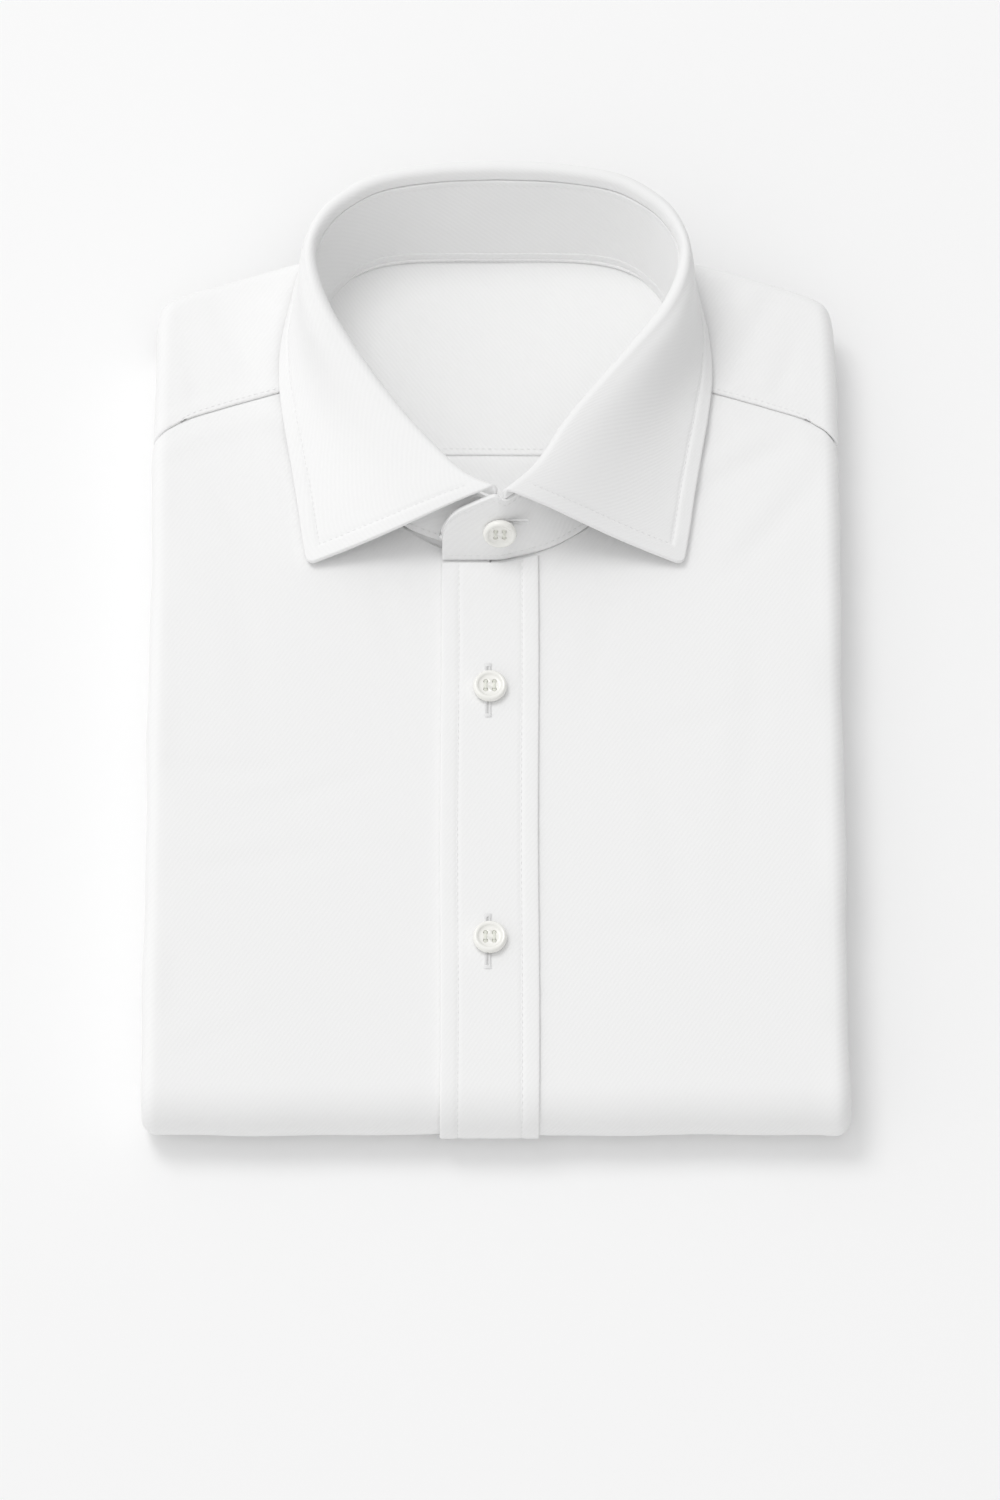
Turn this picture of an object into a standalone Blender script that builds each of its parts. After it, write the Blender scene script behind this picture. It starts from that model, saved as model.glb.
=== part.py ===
"""Folded dress shirt, buttoned, lying flat with its front up and its tail folded under.

Run with: blender --background --python part.py
Metres, +Z up. X runs across the shirt, +Y points to the collar and z = 0 is the face it rests on.
The tables are in millimetres: x from the middle of the shirt, y up from the bottom fold.
"""

import bpy
import numpy as np

MM = 0.001

# Sizes of the folded shirt
CENTRE_Y = 180.0
HALF_WIDTH = 122.5
THICKNESS = 25.0
BUNDLE = 12.5
CLOTH = 1.3
SEAM_GAP = 0.3
SIDE_ROUND = 5.0
SIDE_TUCK = 24.0
TUCK_HEIGHT = 0.3
TUCK_HEIGHT_AT_FOLD = 1.2
TAIL_END = 306.0

# Front closure
PLACKET_LEFT = -19.3
PLACKET_RIGHT = 15.3
PLACKET_CLOTH = 1.0
PLACKET_TOP = 213.2
FRONT_SPLIT = -1.8
BUTTON_X = -1.9
BUTTON_ROWS = (163.7, 67.1)

# Buttons
BUTTON_RADIUS = 5.8
BUTTON_DEPTH = 2.8
BUTTON_DISH_RADIUS = 4.1
BUTTON_DISH = 0.7
BUTTON_HOLE_RADIUS = 0.75
BUTTON_HOLE_SPREAD = 1.35

# Collar
STAND_CLOTH = 2.0
LEAF_CLOTH = 1.8
ROLL_RADIUS = 1.9
STAND_SHARE = 0.87
STAND_BASE_Z = 25.3
TAB_LEFT = -18.9
TAB_RISE = 1.12
TAB_ROUND = 15.5
OVERLAP_SHIFT = 2.7

# Where the points of each front lie across the shirt
FRONT_LEFT_STEPS = [12.0, 15.0, 19.0]
FRONT_RIGHT_STEPS = [12.0, 18.0, 19.6]
FRONT_STEPS = [22.8, 32.0, 43.0, 53.0, 60.0, 65.0, 77.0, 92.0, 106.0]

# Top edge of each front panel, from the middle out: neckline first, then the yoke seam
FRONT_TOP_COLUMNS = ("x", "y")
FRONT_TOP = (
    (0.0, 214.6),
    (12.0, 216.8),
    (22.0, 220.8),
    (32.0, 227.2),
    (43.0, 238.3),
    (53.0, 253.4),
    (60.0, 270.4),
    (65.0, 285.2),
    (77.0, 281.4),
    (92.0, 276.8),
    (106.0, 272.2),
    (112.0, 269.8),
    (117.5, 266.4),
    (122.5, 262.9),
)

# Yoke, from the side seam round the corner and along the shoulder to the middle of the back
YOKE_COLUMNS = ("inner_x", "inner_y", "edge_x", "edge_y", "tuck_x", "tuck_y", "lean")
YOKE = (
    (112.0, 270.3, 122.5, 263.3, 99.0, 263.3, 3.5),
    (108.5, 271.8, 122.4, 272.0, 99.0, 269.0, 1.9),
    (104.0, 273.3, 122.3, 283.0, 99.0, 276.0, 0.9),
    (99.0, 274.9, 122.1, 294.0, 98.8, 283.0, 0.3),
    (94.0, 276.6, 121.9, 304.0, 98.4, 289.5, 0.0),
    (89.0, 278.1, 121.4, 312.0, 97.4, 294.5, 0.0),
    (84.0, 279.7, 119.7, 317.8, 95.5, 298.5, 0.0),
    (79.0, 281.2, 115.6, 321.3, 92.0, 301.2, 0.0),
    (74.0, 282.8, 109.0, 324.0, 87.5, 303.4, 0.0),
    (69.0, 284.4, 101.5, 326.6, 82.5, 305.0, 0.0),
    (64.6, 286.4, 94.0, 329.1, 77.0, 306.0, 0.0),
    (65.3, 294.0, 87.0, 331.4, 71.5, 306.6, 0.0),
    (65.5, 303.0, 80.0, 333.5, 66.0, 307.0, 0.0),
    (64.2, 312.0, 73.0, 335.6, 60.5, 307.2, 0.0),
    (60.0, 320.4, 65.8, 337.6, 54.5, 307.3, 0.0),
    (52.5, 327.8, 57.0, 339.6, 47.0, 307.3, 0.0),
    (42.8, 332.6, 45.5, 341.1, 38.0, 307.3, 0.0),
    (30.8, 334.8, 31.5, 342.0, 27.0, 307.3, 0.0),
    (15.5, 335.4, 15.7, 342.4, 13.5, 307.3, 0.0),
    (0.0, 335.4, 0.0, 342.5, 0.0, 307.3, 0.0),
)

# Collar, from the front button to the middle of the back
COLLAR_COLUMNS = (
    "base_x",
    "base_y",
    "roll_x",
    "roll_y",
    "roll_z",
    "edge_x",
    "edge_y",
    "edge_z",
    "bow",
    "roll_shift",
)
COLLAR = (
    (2.7, 215.1, 2.6, 227.4, 52.2, 66.8, 211.6, 27.6, 1.0, 0.0),
    (21.0, 220.4, 14.6, 240.3, 50.6, 68.9, 224.5, 27.6, 2.0, -0.4),
    (38.0, 232.6, 26.6, 256.5, 50.4, 71.0, 239.5, 27.7, 3.0, -2.6),
    (51.5, 250.5, 38.4, 272.0, 51.2, 73.4, 254.5, 27.8, 4.0, -2.4),
    (60.0, 270.0, 49.3, 286.5, 53.0, 75.8, 269.5, 27.9, 5.0, -1.3),
    (64.3, 287.0, 58.7, 300.0, 55.3, 77.2, 284.0, 27.9, 5.2, 0.0),
    (65.6, 303.0, 64.4, 313.0, 57.6, 76.4, 299.5, 27.7, 3.6, 0.7),
    (63.8, 314.0, 65.6, 324.5, 59.3, 73.2, 316.0, 27.2, 2.0, 0.9),
    (58.5, 323.6, 61.3, 334.0, 60.4, 69.6, 332.0, 26.0, 1.2, 0.9),
    (50.0, 331.5, 54.2, 341.2, 61.2, 63.0, 344.5, 23.6, 1.0, 0.9),
    (38.0, 336.0, 41.5, 348.2, 61.8, 47.0, 354.8, 21.0, 1.0, 0.9),
    (20.0, 337.1, 21.5, 351.8, 62.2, 25.0, 359.2, 19.2, 1.0, 0.9),
    (0.0, 337.1, 0.0, 352.8, 62.4, 0.0, 360.4, 18.8, 1.0, 0.9),
)

# Inside of the back, seen through the neck: how far each piece reaches
INNER_SEAM_Y = 257.0
INNER_TOP_Z = 23.4
YOKE_INNER_OUTLINE = (
    (0.0, 335.6),
    (15.0, 335.6),
    (30.0, 335.2),
    (42.0, 332.8),
    (51.5, 327.2),
    (58.6, 319.8),
    (70.0, 322.0),
    (84.0, 318.0),
    (98.0, 312.0),
    (98.0, 285.0),
    (98.0, INNER_SEAM_Y),
)
BACK_OUTLINE = ((98.0, INNER_SEAM_Y - SEAM_GAP), (98.0, 238.0), (98.0, 212.0))


def clear_scene():
    """Removes whatever the file holds before the part is built."""
    for obj in list(bpy.data.objects):
        bpy.data.objects.remove(obj, do_unlink=True)


def new_collection(name):
    """Makes a collection in the scene."""
    collection = bpy.data.collections.new(name)
    bpy.context.scene.collection.children.link(collection)
    return collection


def make_material(name, colour, roughness):
    """Makes a Principled material of one colour."""
    material = bpy.data.materials.new(name)
    material.use_nodes = True
    shader = material.node_tree.nodes["Principled BSDF"]
    shader.inputs["Base Color"].default_value = (*colour, 1.0)
    shader.inputs["Roughness"].default_value = roughness
    return material


def columns_of(table, columns):
    """The columns of a table by name."""
    rows = np.array(table, float)
    return {name: rows[:, index] for index, name in enumerate(columns)}


def interpolate(table, columns, steps):
    """Runs a smooth curve through the rows of a table and samples it evenly between rows."""
    rows = np.array(table, float)
    count = len(rows)
    padded = np.vstack([2 * rows[0] - rows[1], rows, 2 * rows[-1] - rows[-2]])
    out = []
    for start in range(count - 1):
        before, here, there, after = padded[start : start + 4]
        for step in range(steps):
            t = step / steps
            out.append(
                0.5
                * (
                    2 * here
                    + (there - before) * t
                    + (2 * before - 5 * here + 4 * there - after) * t**2
                    + (3 * here - before - 3 * there + after) * t**3
                )
            )
    out.append(rows[-1])
    samples = np.array(out)
    return {name: samples[:, index] for index, name in enumerate(columns)}


def grid_normals(grid):
    """Unit normals of a grid of points, from the lines along and across it."""
    along = np.gradient(grid, axis=0)
    across = np.gradient(grid, axis=1)
    normals = np.cross(along, across)
    return normals / np.linalg.norm(normals, axis=2, keepdims=True)


def wall_from_grid(outer, inner):
    """Faces of a closed wall between two grids of the same size."""
    rows, columns = outer.shape[:2]
    points = np.vstack([outer.reshape(-1, 3), inner.reshape(-1, 3)])
    offset = rows * columns
    faces = []

    def index(row, column):
        return row * columns + column

    for row in range(rows - 1):
        for column in range(columns - 1):
            a, b = index(row, column), index(row + 1, column)
            c, d = index(row + 1, column + 1), index(row, column + 1)
            faces.append((a, b, c, d))
            faces.append((offset + d, offset + c, offset + b, offset + a))
    for row in range(rows - 1):
        for column, turned in ((0, False), (columns - 1, True)):
            a, b = index(row, column), index(row + 1, column)
            face = (b, a, offset + a, offset + b)
            faces.append(face[::-1] if turned else face)
    for column in range(columns - 1):
        for row, turned in ((0, True), (rows - 1, False)):
            a, b = index(row, column), index(row, column + 1)
            face = (b, a, offset + a, offset + b)
            faces.append(face[::-1] if turned else face)
    return points, faces


def signed_volume(points, faces):
    """Volume inside the faces, negative when they point inwards."""
    total = 0.0
    for face in faces:
        first = points[face[0]]
        for second, third in zip(face[1:-1], face[2:]):
            total += np.dot(first, np.cross(points[second], points[third])) / 6
    return total


def add_object(name, points, faces, material, collection, smooth=True):
    """Adds a closed mesh given in table millimetres, with its faces turned outwards."""
    points = np.asarray(points, float).copy()
    if signed_volume(points, faces) < 0:
        faces = [tuple(face[::-1]) for face in faces]
    points[:, 1] -= CENTRE_Y
    mesh = bpy.data.meshes.new(name)
    mesh.from_pydata([tuple(p) for p in points * MM], [], [tuple(f) for f in faces])
    mesh.materials.append(material)
    mesh.update()
    for polygon in mesh.polygons:
        polygon.use_smooth = smooth
    obj = bpy.data.objects.new(name, mesh)
    collection.objects.link(obj)
    return obj


def sweep_point(x, height, run):
    """Places a point of the folded bundle.

    run is (stage, amount): on top amount is y, in the fold it is the angle from 0 to pi,
    and underneath it is y again.
    """
    stage, amount = run
    middle = THICKNESS / 2
    if stage == "top":
        return (x, amount, middle + height)
    if stage == "fold":
        return (x, BUNDLE - height * np.sin(amount), middle + height * np.cos(amount))
    return (x, amount, middle - height)


def fold_share(run):
    """How much a run has turned under: 0 on top, 1 underneath."""
    stage, amount = run
    if stage == "top":
        return 0.0
    if stage == "under":
        return 1.0
    turned = np.clip((amount - np.pi / 2) / (np.pi / 2), 0, 1)
    return float(turned * turned * (3 - 2 * turned))


def near_fold(run):
    """How near a run is to the bottom fold: 1 in the fold, 0 from 30 mm away."""
    stage, amount = run
    if stage == "fold":
        return 1.0
    return float(np.clip(1 - (amount - BUNDLE) / 30.0, 0, 1))


def recess_at(x):
    """Where the placket is let into the underside: 1 beneath it, 0 beside it."""
    left = np.clip((x - (PLACKET_LEFT - 3.2)) / 2.6, 0, 1)
    right = np.clip(((PLACKET_RIGHT + 3.2) - x) / 2.6, 0, 1)
    return float(left * right)


FOLD_STEPS = 10
FOLD_RUNS = [("fold", np.pi * step / FOLD_STEPS) for step in range(FOLD_STEPS + 1)]


def front_panel(name, side, material, collection):
    """One front, from its neckline and yoke seam, round the bottom fold, to the tail."""
    top = columns_of(FRONT_TOP, FRONT_TOP_COLUMNS)
    beneath_placket = FRONT_LEFT_STEPS if side > 0 else FRONT_RIGHT_STEPS
    across = [("flat", FRONT_SPLIT + side * SEAM_GAP / 2)]
    across += [("flat", side * x) for x in beneath_placket + FRONT_STEPS]
    across += [("round", np.pi * step / 6) for step in range(7)]
    across += [("tuck", SIDE_TUCK / 2), ("tuck", SIDE_TUCK)]
    round_start = HALF_WIDTH - SIDE_ROUND

    def profile(kind, value, run):
        """Where this column lies across the shirt, and how far out from the mid-plane."""
        low = TUCK_HEIGHT + (TUCK_HEIGHT_AT_FOLD - TUCK_HEIGHT) * near_fold(run)
        if kind == "flat":
            let_in = (PLACKET_CLOTH + SEAM_GAP) * recess_at(value) * fold_share(run)
            return value, BUNDLE - let_in
        if kind == "round":
            half = (BUNDLE - low) / 2
            x = round_start + SIDE_ROUND * np.sin(value)
            return side * x, low + half + half * np.cos(value)
        return side * (round_start - value), low

    def top_edge(kind, value):
        """How far up the shirt this column reaches."""
        if kind == "flat":
            return np.interp(abs(value), top["x"], top["y"])
        if kind == "round":
            turned = np.sin(min(value, np.pi / 2))
            return np.interp(round_start + SIDE_ROUND * turned, top["x"], top["y"])
        return top["y"][-1]

    runs = []
    for step in range(5):
        runs.append(("blend", step / 5))
    runs += [("top", 190.0), ("top", 100.0), ("top", 45.0), ("top", 26.0)]
    runs += FOLD_RUNS
    runs += [("under", 26.0), ("under", 45.0), ("under", 150.0), ("under", TAIL_END)]
    grid = []
    for run in runs:
        line = []
        for kind, value in across:
            here = run
            if run[0] == "blend":
                reach = top_edge(kind, value)
                here = ("top", reach + (190.0 - reach) * run[1])
            x, height = profile(kind, value, here)
            line.append(sweep_point(x, height, here))
        grid.append(line)
    outer = np.array(grid)
    normals = grid_normals(outer)
    inwards = -1.0 if normals[6, 4][2] > 0 else 1.0
    inner = outer + inwards * CLOTH * normals
    points, faces = wall_from_grid(outer, inner)
    return add_object(name, points, faces, material, collection)


def placket(material, collection):
    """The strip down the closure, proud on top and let in flush underneath."""
    columns = [PLACKET_LEFT, -18.4, -10.0, BUTTON_X, 6.0, 14.8, PLACKET_RIGHT]
    runs = [("top", PLACKET_TOP), ("top", 100.0), ("top", 30.0)]
    runs += FOLD_RUNS
    runs += [("under", 30.0), ("under", 150.0), ("under", TAIL_END - 1.0)]
    outer, inner = [], []
    for run in runs:
        under = fold_share(run)
        base = BUNDLE + SEAM_GAP - (PLACKET_CLOTH + SEAM_GAP) * under
        top_line, low_line = [], []
        for x in columns:
            soft = 0.35 if x in (PLACKET_LEFT, PLACKET_RIGHT) else 0.0
            top_line.append(sweep_point(x, base + PLACKET_CLOTH - soft, run))
            low_line.append(sweep_point(x, base, run))
        outer.append(top_line)
        inner.append(low_line)
    points, faces = wall_from_grid(np.array(outer), np.array(inner))
    return add_object("placket", points, faces, material, collection)


def yoke(material, collection):
    """The yoke over both shoulders: flat on top, round the edge, and tucked in below."""
    half = columns_of(YOKE, YOKE_COLUMNS)
    rows = len(half["inner_x"])
    order = [(1, row) for row in range(rows)] + [(-1, row) for row in range(rows - 2, -1, -1)]
    edge = np.column_stack([half["edge_x"], half["edge_y"]])
    tangent = np.gradient(np.vstack([edge, edge[-2] * (-1, 1)]), axis=0)[:rows]
    tangent[-1] = (-1.0, 0.0)
    tangent[0] = (0.0, 1.0)
    outward = np.column_stack([tangent[:, 1], -tangent[:, 0]])
    outward /= np.linalg.norm(outward, axis=1, keepdims=True)
    round_height = (BUNDLE - TUCK_HEIGHT) / 2
    middle = THICKNESS / 2 + TUCK_HEIGHT + round_height
    grid = []
    for side, row in order:
        inner = np.array([half["inner_x"][row], half["inner_y"][row]])
        rim = edge[row]
        lean = np.array([0.0, half["lean"][row]])
        start = rim - SIDE_ROUND * outward[row] + lean
        tuck = np.array([half["tuck_x"][row], half["tuck_y"][row]])
        line = []
        for share in (0.0, 0.2, 0.5, 0.8):
            flat = inner + (start - inner) * share
            line.append((side * flat[0], flat[1], THICKNESS))
        for step in range(7):
            angle = np.pi * step / 6
            reach = np.sin(angle)
            drift = lean * (reach if angle < np.pi / 2 else 1.0)
            spot = start + SIDE_ROUND * reach * outward[row] - drift
            line.append((side * spot[0], spot[1], middle + round_height * np.cos(angle)))
        for share in (0.5, 1.0):
            flat = start - lean + (tuck - start + lean) * share
            line.append((side * flat[0], flat[1], middle - round_height))
        grid.append(line)
    outer = np.array(grid)
    normals = grid_normals(outer)
    inwards = -1.0 if normals[5, 1][2] > 0 else 1.0
    normals[:, :4] = (0.0, 0.0, -inwards)
    inner = outer + inwards * CLOTH * normals
    points, faces = wall_from_grid(outer, inner)
    return add_object("yoke", points, faces, material, collection)


def flat_piece(name, outline, material, collection):
    """A flat piece of the inside of the back, the same on both sides of the middle."""
    left = [(-x, y) for x, y in outline[::-1] if x > 0]
    ring = left + list(outline)
    count = len(ring)
    upper = [(x, y, INNER_TOP_Z) for x, y in ring]
    lower = [(x, y, INNER_TOP_Z - CLOTH) for x, y in ring]
    faces = [tuple(range(count)), tuple(range(2 * count - 1, count - 1, -1))]
    for here in range(count):
        there = (here + 1) % count
        faces.append((there, here, count + here, count + there))
    points = np.array(upper + lower, float)
    return add_object(name, points, faces, material, collection, smooth=False)


def folded_layers(material, collection):
    """Sleeves, sides, back and tail, folded inside the fronts as one rounded solid."""
    lobe = HALF_WIDTH - CLOTH - 1.7
    slot_end = HALF_WIDTH - SIDE_ROUND - SIDE_TUCK - 1.0
    slot = TUCK_HEIGHT_AT_FOLD + CLOTH + 0.4
    full = BUNDLE - CLOTH - SEAM_GAP
    under_neck = INNER_TOP_Z - CLOTH - SEAM_GAP - THICKNESS / 2
    inset = PLACKET_CLOTH + SEAM_GAP
    radius = full

    def ring(y, top, low, width, end_width):
        half = []
        for x, share in ((width - 4.0, 1.0), (width - 1.2, 0.88), (width, 0.6)):
            half.append((x, slot + (top - slot) * share))
        half += [(width - 0.8, slot), (end_width, slot), (end_width, -slot)]
        half += [(width - 0.8, -slot)]
        for x, share in ((width, 0.6), (width - 1.2, 0.88), (width - 4.0, 1.0)):
            half.append((x, -slot - (low - slot) * share))
        half += [(22.4, -low), (19.4, -low + inset)]
        mirrored = [(-x, z) for x, z in half[::-1]]
        return [(x, y, THICKNESS / 2 + z) for x, z in half + mirrored]

    stations = []
    for angle in (62.0, 50.0, 36.0, 20.0, 0.0):
        turn = np.radians(angle)
        height = radius * np.cos(turn)
        width = lobe - 3.0 * np.sin(turn)
        stations.append((BUNDLE - radius * np.sin(turn), height, height, width, slot_end))
    stations += [
        (60.0, full, full, lobe, slot_end),
        (150.0, full, full, lobe, slot_end),
        (209.0, full, full, lobe, slot_end),
        (211.0, under_neck, full, lobe, slot_end),
        (262.0, under_neck, full, lobe, slot_end),
        (288.0, under_neck, full, lobe, slot_end),
        (292.0, under_neck, full, lobe, slot_end - 27.0),
        (TAIL_END - 6.0, under_neck, full, lobe - 1.0, slot_end - 27.0),
        (TAIL_END - 2.0, under_neck, full, lobe - 3.0, slot_end - 27.0),
        (TAIL_END - 1.2, under_neck - 1.0, full - 1.0, lobe - 6.0, slot_end - 27.0),
    ]
    rings = [ring(*station) for station in stations]
    points = np.array([point for line in rings for point in line])
    count = len(rings[0])
    faces = []
    for row in range(len(rings) - 1):
        for here in range(count):
            there = (here + 1) % count
            a, b = row * count + here, row * count + there
            faces.append((a, b, b + count, a + count))
    faces.append(tuple(range(count - 1, -1, -1)))
    last = (len(rings) - 1) * count
    faces.append(tuple(range(last, last + count)))
    return add_object("folded_layers", points, faces, material, collection)


def collar_rows(steps):
    """The collar table as smooth rows, from the front round the back to the other front."""
    half = interpolate(COLLAR, COLLAR_COLUMNS, steps)
    rows = len(half["base_x"])
    out = []
    for side, order in ((-1, range(rows)), (1, range(rows - 2, -1, -1))):
        for row in order:
            base = np.array([side * half["base_x"][row], half["base_y"][row], STAND_BASE_Z])
            roll_x = side * half["roll_x"][row] + half["roll_shift"][row]
            roll = np.array([roll_x, half["roll_y"][row], half["roll_z"][row]])
            edge = np.array([side * half["edge_x"][row], half["edge_y"][row], half["edge_z"][row]])
            out.append((base, roll, edge, half["bow"][row]))
    return out


def thicken(grid, depth):
    """A closed wall of this depth, centred on a grid of points."""
    normals = grid_normals(grid)
    return wall_from_grid(grid + normals * depth / 2, grid - normals * depth / 2)


def collar_stand(material, collection):
    """The standing band, with its tab buttoned over the other end."""
    rows = collar_rows(2)
    base_line = [row[0] for row in rows]
    top_line = [row[0] + (row[1] - row[0]) * STAND_SHARE for row in rows]
    # The lower end passes behind the tab.
    for index in range(len(rows)):
        x = base_line[index][0]
        if index < len(rows) / 2 and x > -34.0 and base_line[index][1] < 260.0:
            shift = OVERLAP_SHIFT * np.clip((x + 34.0) / 14.0, 0, 1)
            rise = top_line[index] - base_line[index]
            base_line[index] = base_line[index] + np.array([0, shift, 0])
            top_line[index] = base_line[index] + rise * (1 - 0.03 * shift)
    start_shift = np.array([6.0, 0.2, 0.0])
    base_line.insert(0, base_line[0] + start_shift)
    top_line.insert(0, top_line[0] + start_shift)
    # The tab runs on nearly straight past the middle, and its upper corner is rounded.
    tab_base, tab_top = base_line[-1], top_line[-1]
    height = np.linalg.norm(tab_top - tab_base)
    lean = (tab_top - tab_base) / height
    for x in (1.2, 0.0, -1.2, -2.4, -4.2, -8.5, -12.5, -15.4, -17.4, -18.5, TAB_LEFT):
        base = np.array([x, 214.95, STAND_BASE_Z])
        past = np.clip((x - (TAB_LEFT + TAB_ROUND)) / -TAB_ROUND, 0, 1)
        drop = TAB_ROUND * 0.95 * (1 - np.sqrt(max(0.0, 1 - past**2)))
        rise = height * np.interp(x, (-2.4, -1.2, 1.2, 2.4), (1.0, TAB_RISE, TAB_RISE, 1.0))
        base_line.append(base)
        top_line.append(base + lean * (rise - drop))
    grid = []
    for base, top in zip(base_line, top_line):
        grid.append([base + (top - base) * share for share in (0.0, 0.25, 0.5, 0.75, 1.0)])
    points, faces = thicken(np.array(grid), STAND_CLOTH)
    lift = points[:, 2] < STAND_BASE_Z
    points[lift, 2] = STAND_BASE_Z
    return add_object("collar_stand", points, faces, material, collection)


def leaf_section(base, roll, edge, bow):
    """Middle line of the leaf: up from the stand, over the roll and down to the edge."""
    rise = (roll - base) / np.linalg.norm(roll - base)
    fall = edge - roll
    fall[2] = 0.0
    away = fall - rise * np.dot(fall, rise)
    away = away / np.linalg.norm(away)
    seam = base + (roll - base) * STAND_SHARE + rise * (SEAM_GAP + 0.45)
    top = roll - rise * ROLL_RADIUS
    centre = top + away * ROLL_RADIUS
    line = [seam, seam + (top - seam) * 0.55]
    down = edge - (centre + away * ROLL_RADIUS)
    down = down / np.linalg.norm(down)
    last = np.pi - np.arctan2(np.dot(down, away), -np.dot(down, rise))
    for step in range(6):
        angle = last * step / 5
        line.append(centre - away * ROLL_RADIUS * np.cos(angle) + rise * ROLL_RADIUS * np.sin(angle))
    start = line[-1]
    span = edge - start
    out = np.cross(np.cross(span, np.array([0, 0, 1.0])), span)
    out = out / np.linalg.norm(out)
    for share in (0.15, 0.3, 0.45, 0.6, 0.75, 0.88, 1.0):
        lift = bow * 4 * share * (1 - share) * (1.25 - 0.5 * share)
        line.append(start + span * share + out * lift)
    return line


def collar_leaf(material, collection):
    """The turned-down leaf, with its two points on the fronts."""
    rows = collar_rows(2)
    grid = np.array([leaf_section(*row) for row in rows])
    points, faces = thicken(grid, LEAF_CLOTH)
    return add_object("collar_leaf", points, faces, material, collection)


def button(name, centre, tilt, material, collection):
    """A sewn-on button with a raised rim and four holes, face up and then tilted."""
    sides = 32
    profile = (
        (BUTTON_RADIUS - 1.2, 0.0),
        (BUTTON_RADIUS - 0.3, 0.5),
        (BUTTON_RADIUS, 1.3),
        (BUTTON_RADIUS - 0.3, BUTTON_DEPTH - 0.4),
        (BUTTON_RADIUS - 0.9, BUTTON_DEPTH),
        (BUTTON_DISH_RADIUS + 0.3, BUTTON_DEPTH - 0.15),
        (BUTTON_DISH_RADIUS - 0.4, BUTTON_DEPTH - BUTTON_DISH),
    )
    points, faces = [], []
    for radius, z in profile:
        for side in range(sides):
            angle = 2 * np.pi * side / sides
            points.append((radius * np.cos(angle), radius * np.sin(angle), z))
    for row in range(len(profile) - 1):
        for side in range(sides):
            a, b = row * sides + side, row * sides + (side + 1) % sides
            faces.append((a, b, b + sides, a + sides))
    faces.append(tuple(range(sides - 1, -1, -1)))
    last = (len(profile) - 1) * sides
    faces.append(tuple(range(last, last + sides)))
    turn = np.radians(tilt)
    rotate = np.array(
        [[1, 0, 0], [0, np.cos(turn), -np.sin(turn)], [0, np.sin(turn), np.cos(turn)]]
    )
    placed = np.array(points) @ rotate.T + np.array(centre)
    obj = add_object(name, placed, faces, material, collection)
    cutters = bpy.data.collections.get("cutters") or new_collection("cutters")
    for index, (dx, dy) in enumerate(((1, 1), (-1, 1), (-1, -1), (1, -1))):
        hole, walls = [], []
        for z in (-1.0, BUTTON_DEPTH + 1.0):
            for side in range(12):
                angle = 2 * np.pi * side / 12
                hole.append(
                    (
                        dx * BUTTON_HOLE_SPREAD + BUTTON_HOLE_RADIUS * np.cos(angle),
                        dy * BUTTON_HOLE_SPREAD + BUTTON_HOLE_RADIUS * np.sin(angle),
                        z,
                    )
                )
        for side in range(12):
            walls.append((side, (side + 1) % 12, 12 + (side + 1) % 12, 12 + side))
        walls.append(tuple(range(11, -1, -1)))
        walls.append(tuple(range(12, 24)))
        hole = np.array(hole) @ rotate.T + np.array(centre)
        cutter = add_object(f"{name}_hole_{index + 1}", hole, walls, material, cutters)
        cutter.hide_render = True
        cutter.display_type = "WIRE"
        cut = obj.modifiers.new(f"hole_{index + 1}", "BOOLEAN")
        cut.operation = "DIFFERENCE"
        cut.solver = "EXACT"
        cut.object = cutter
    return obj


def main():
    clear_scene()
    shirt = new_collection("folded_dress_shirt")
    white = (0.86, 0.87, 0.88)
    front_cloth = make_material("front_cloth", white, 0.85)
    yoke_cloth = make_material("yoke_cloth", white, 0.85)
    collar_cloth = make_material("collar_cloth", (0.88, 0.89, 0.9), 0.8)
    hidden_cloth = make_material("hidden_cloth", (0.84, 0.85, 0.86), 0.85)
    button_gloss = make_material("button_gloss", (0.9, 0.9, 0.87), 0.3)
    front_panel("front_left", 1, front_cloth, shirt)
    front_panel("front_right", -1, front_cloth, shirt)
    placket(front_cloth, shirt)
    yoke(yoke_cloth, shirt)
    flat_piece("yoke_inner", YOKE_INNER_OUTLINE, yoke_cloth, shirt)
    flat_piece("back", BACK_OUTLINE, yoke_cloth, shirt)
    folded_layers(hidden_cloth, shirt)
    collar_stand(collar_cloth, shirt)
    collar_leaf(collar_cloth, shirt)
    rest = THICKNESS + SEAM_GAP + PLACKET_CLOTH + SEAM_GAP
    for number, y in enumerate(BUTTON_ROWS, start=1):
        button(f"button_{number}", (BUTTON_X, y, rest), 0.0, button_gloss, shirt)
    button("button_collar", (1.6, 219.4, 38.3), 67.0, button_gloss, shirt)


main()
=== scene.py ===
"""A folded white twill dress shirt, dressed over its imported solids.

The tables repeat the shirt's own sizes in millimetres: x from the middle of the shirt and
y up from the bottom fold. Everything reaches Blender in metres, in the row frame.
"""

from __future__ import annotations

import logging
import math
from dataclasses import dataclass, field
from enum import Enum
from typing import Callable, Sequence

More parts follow.
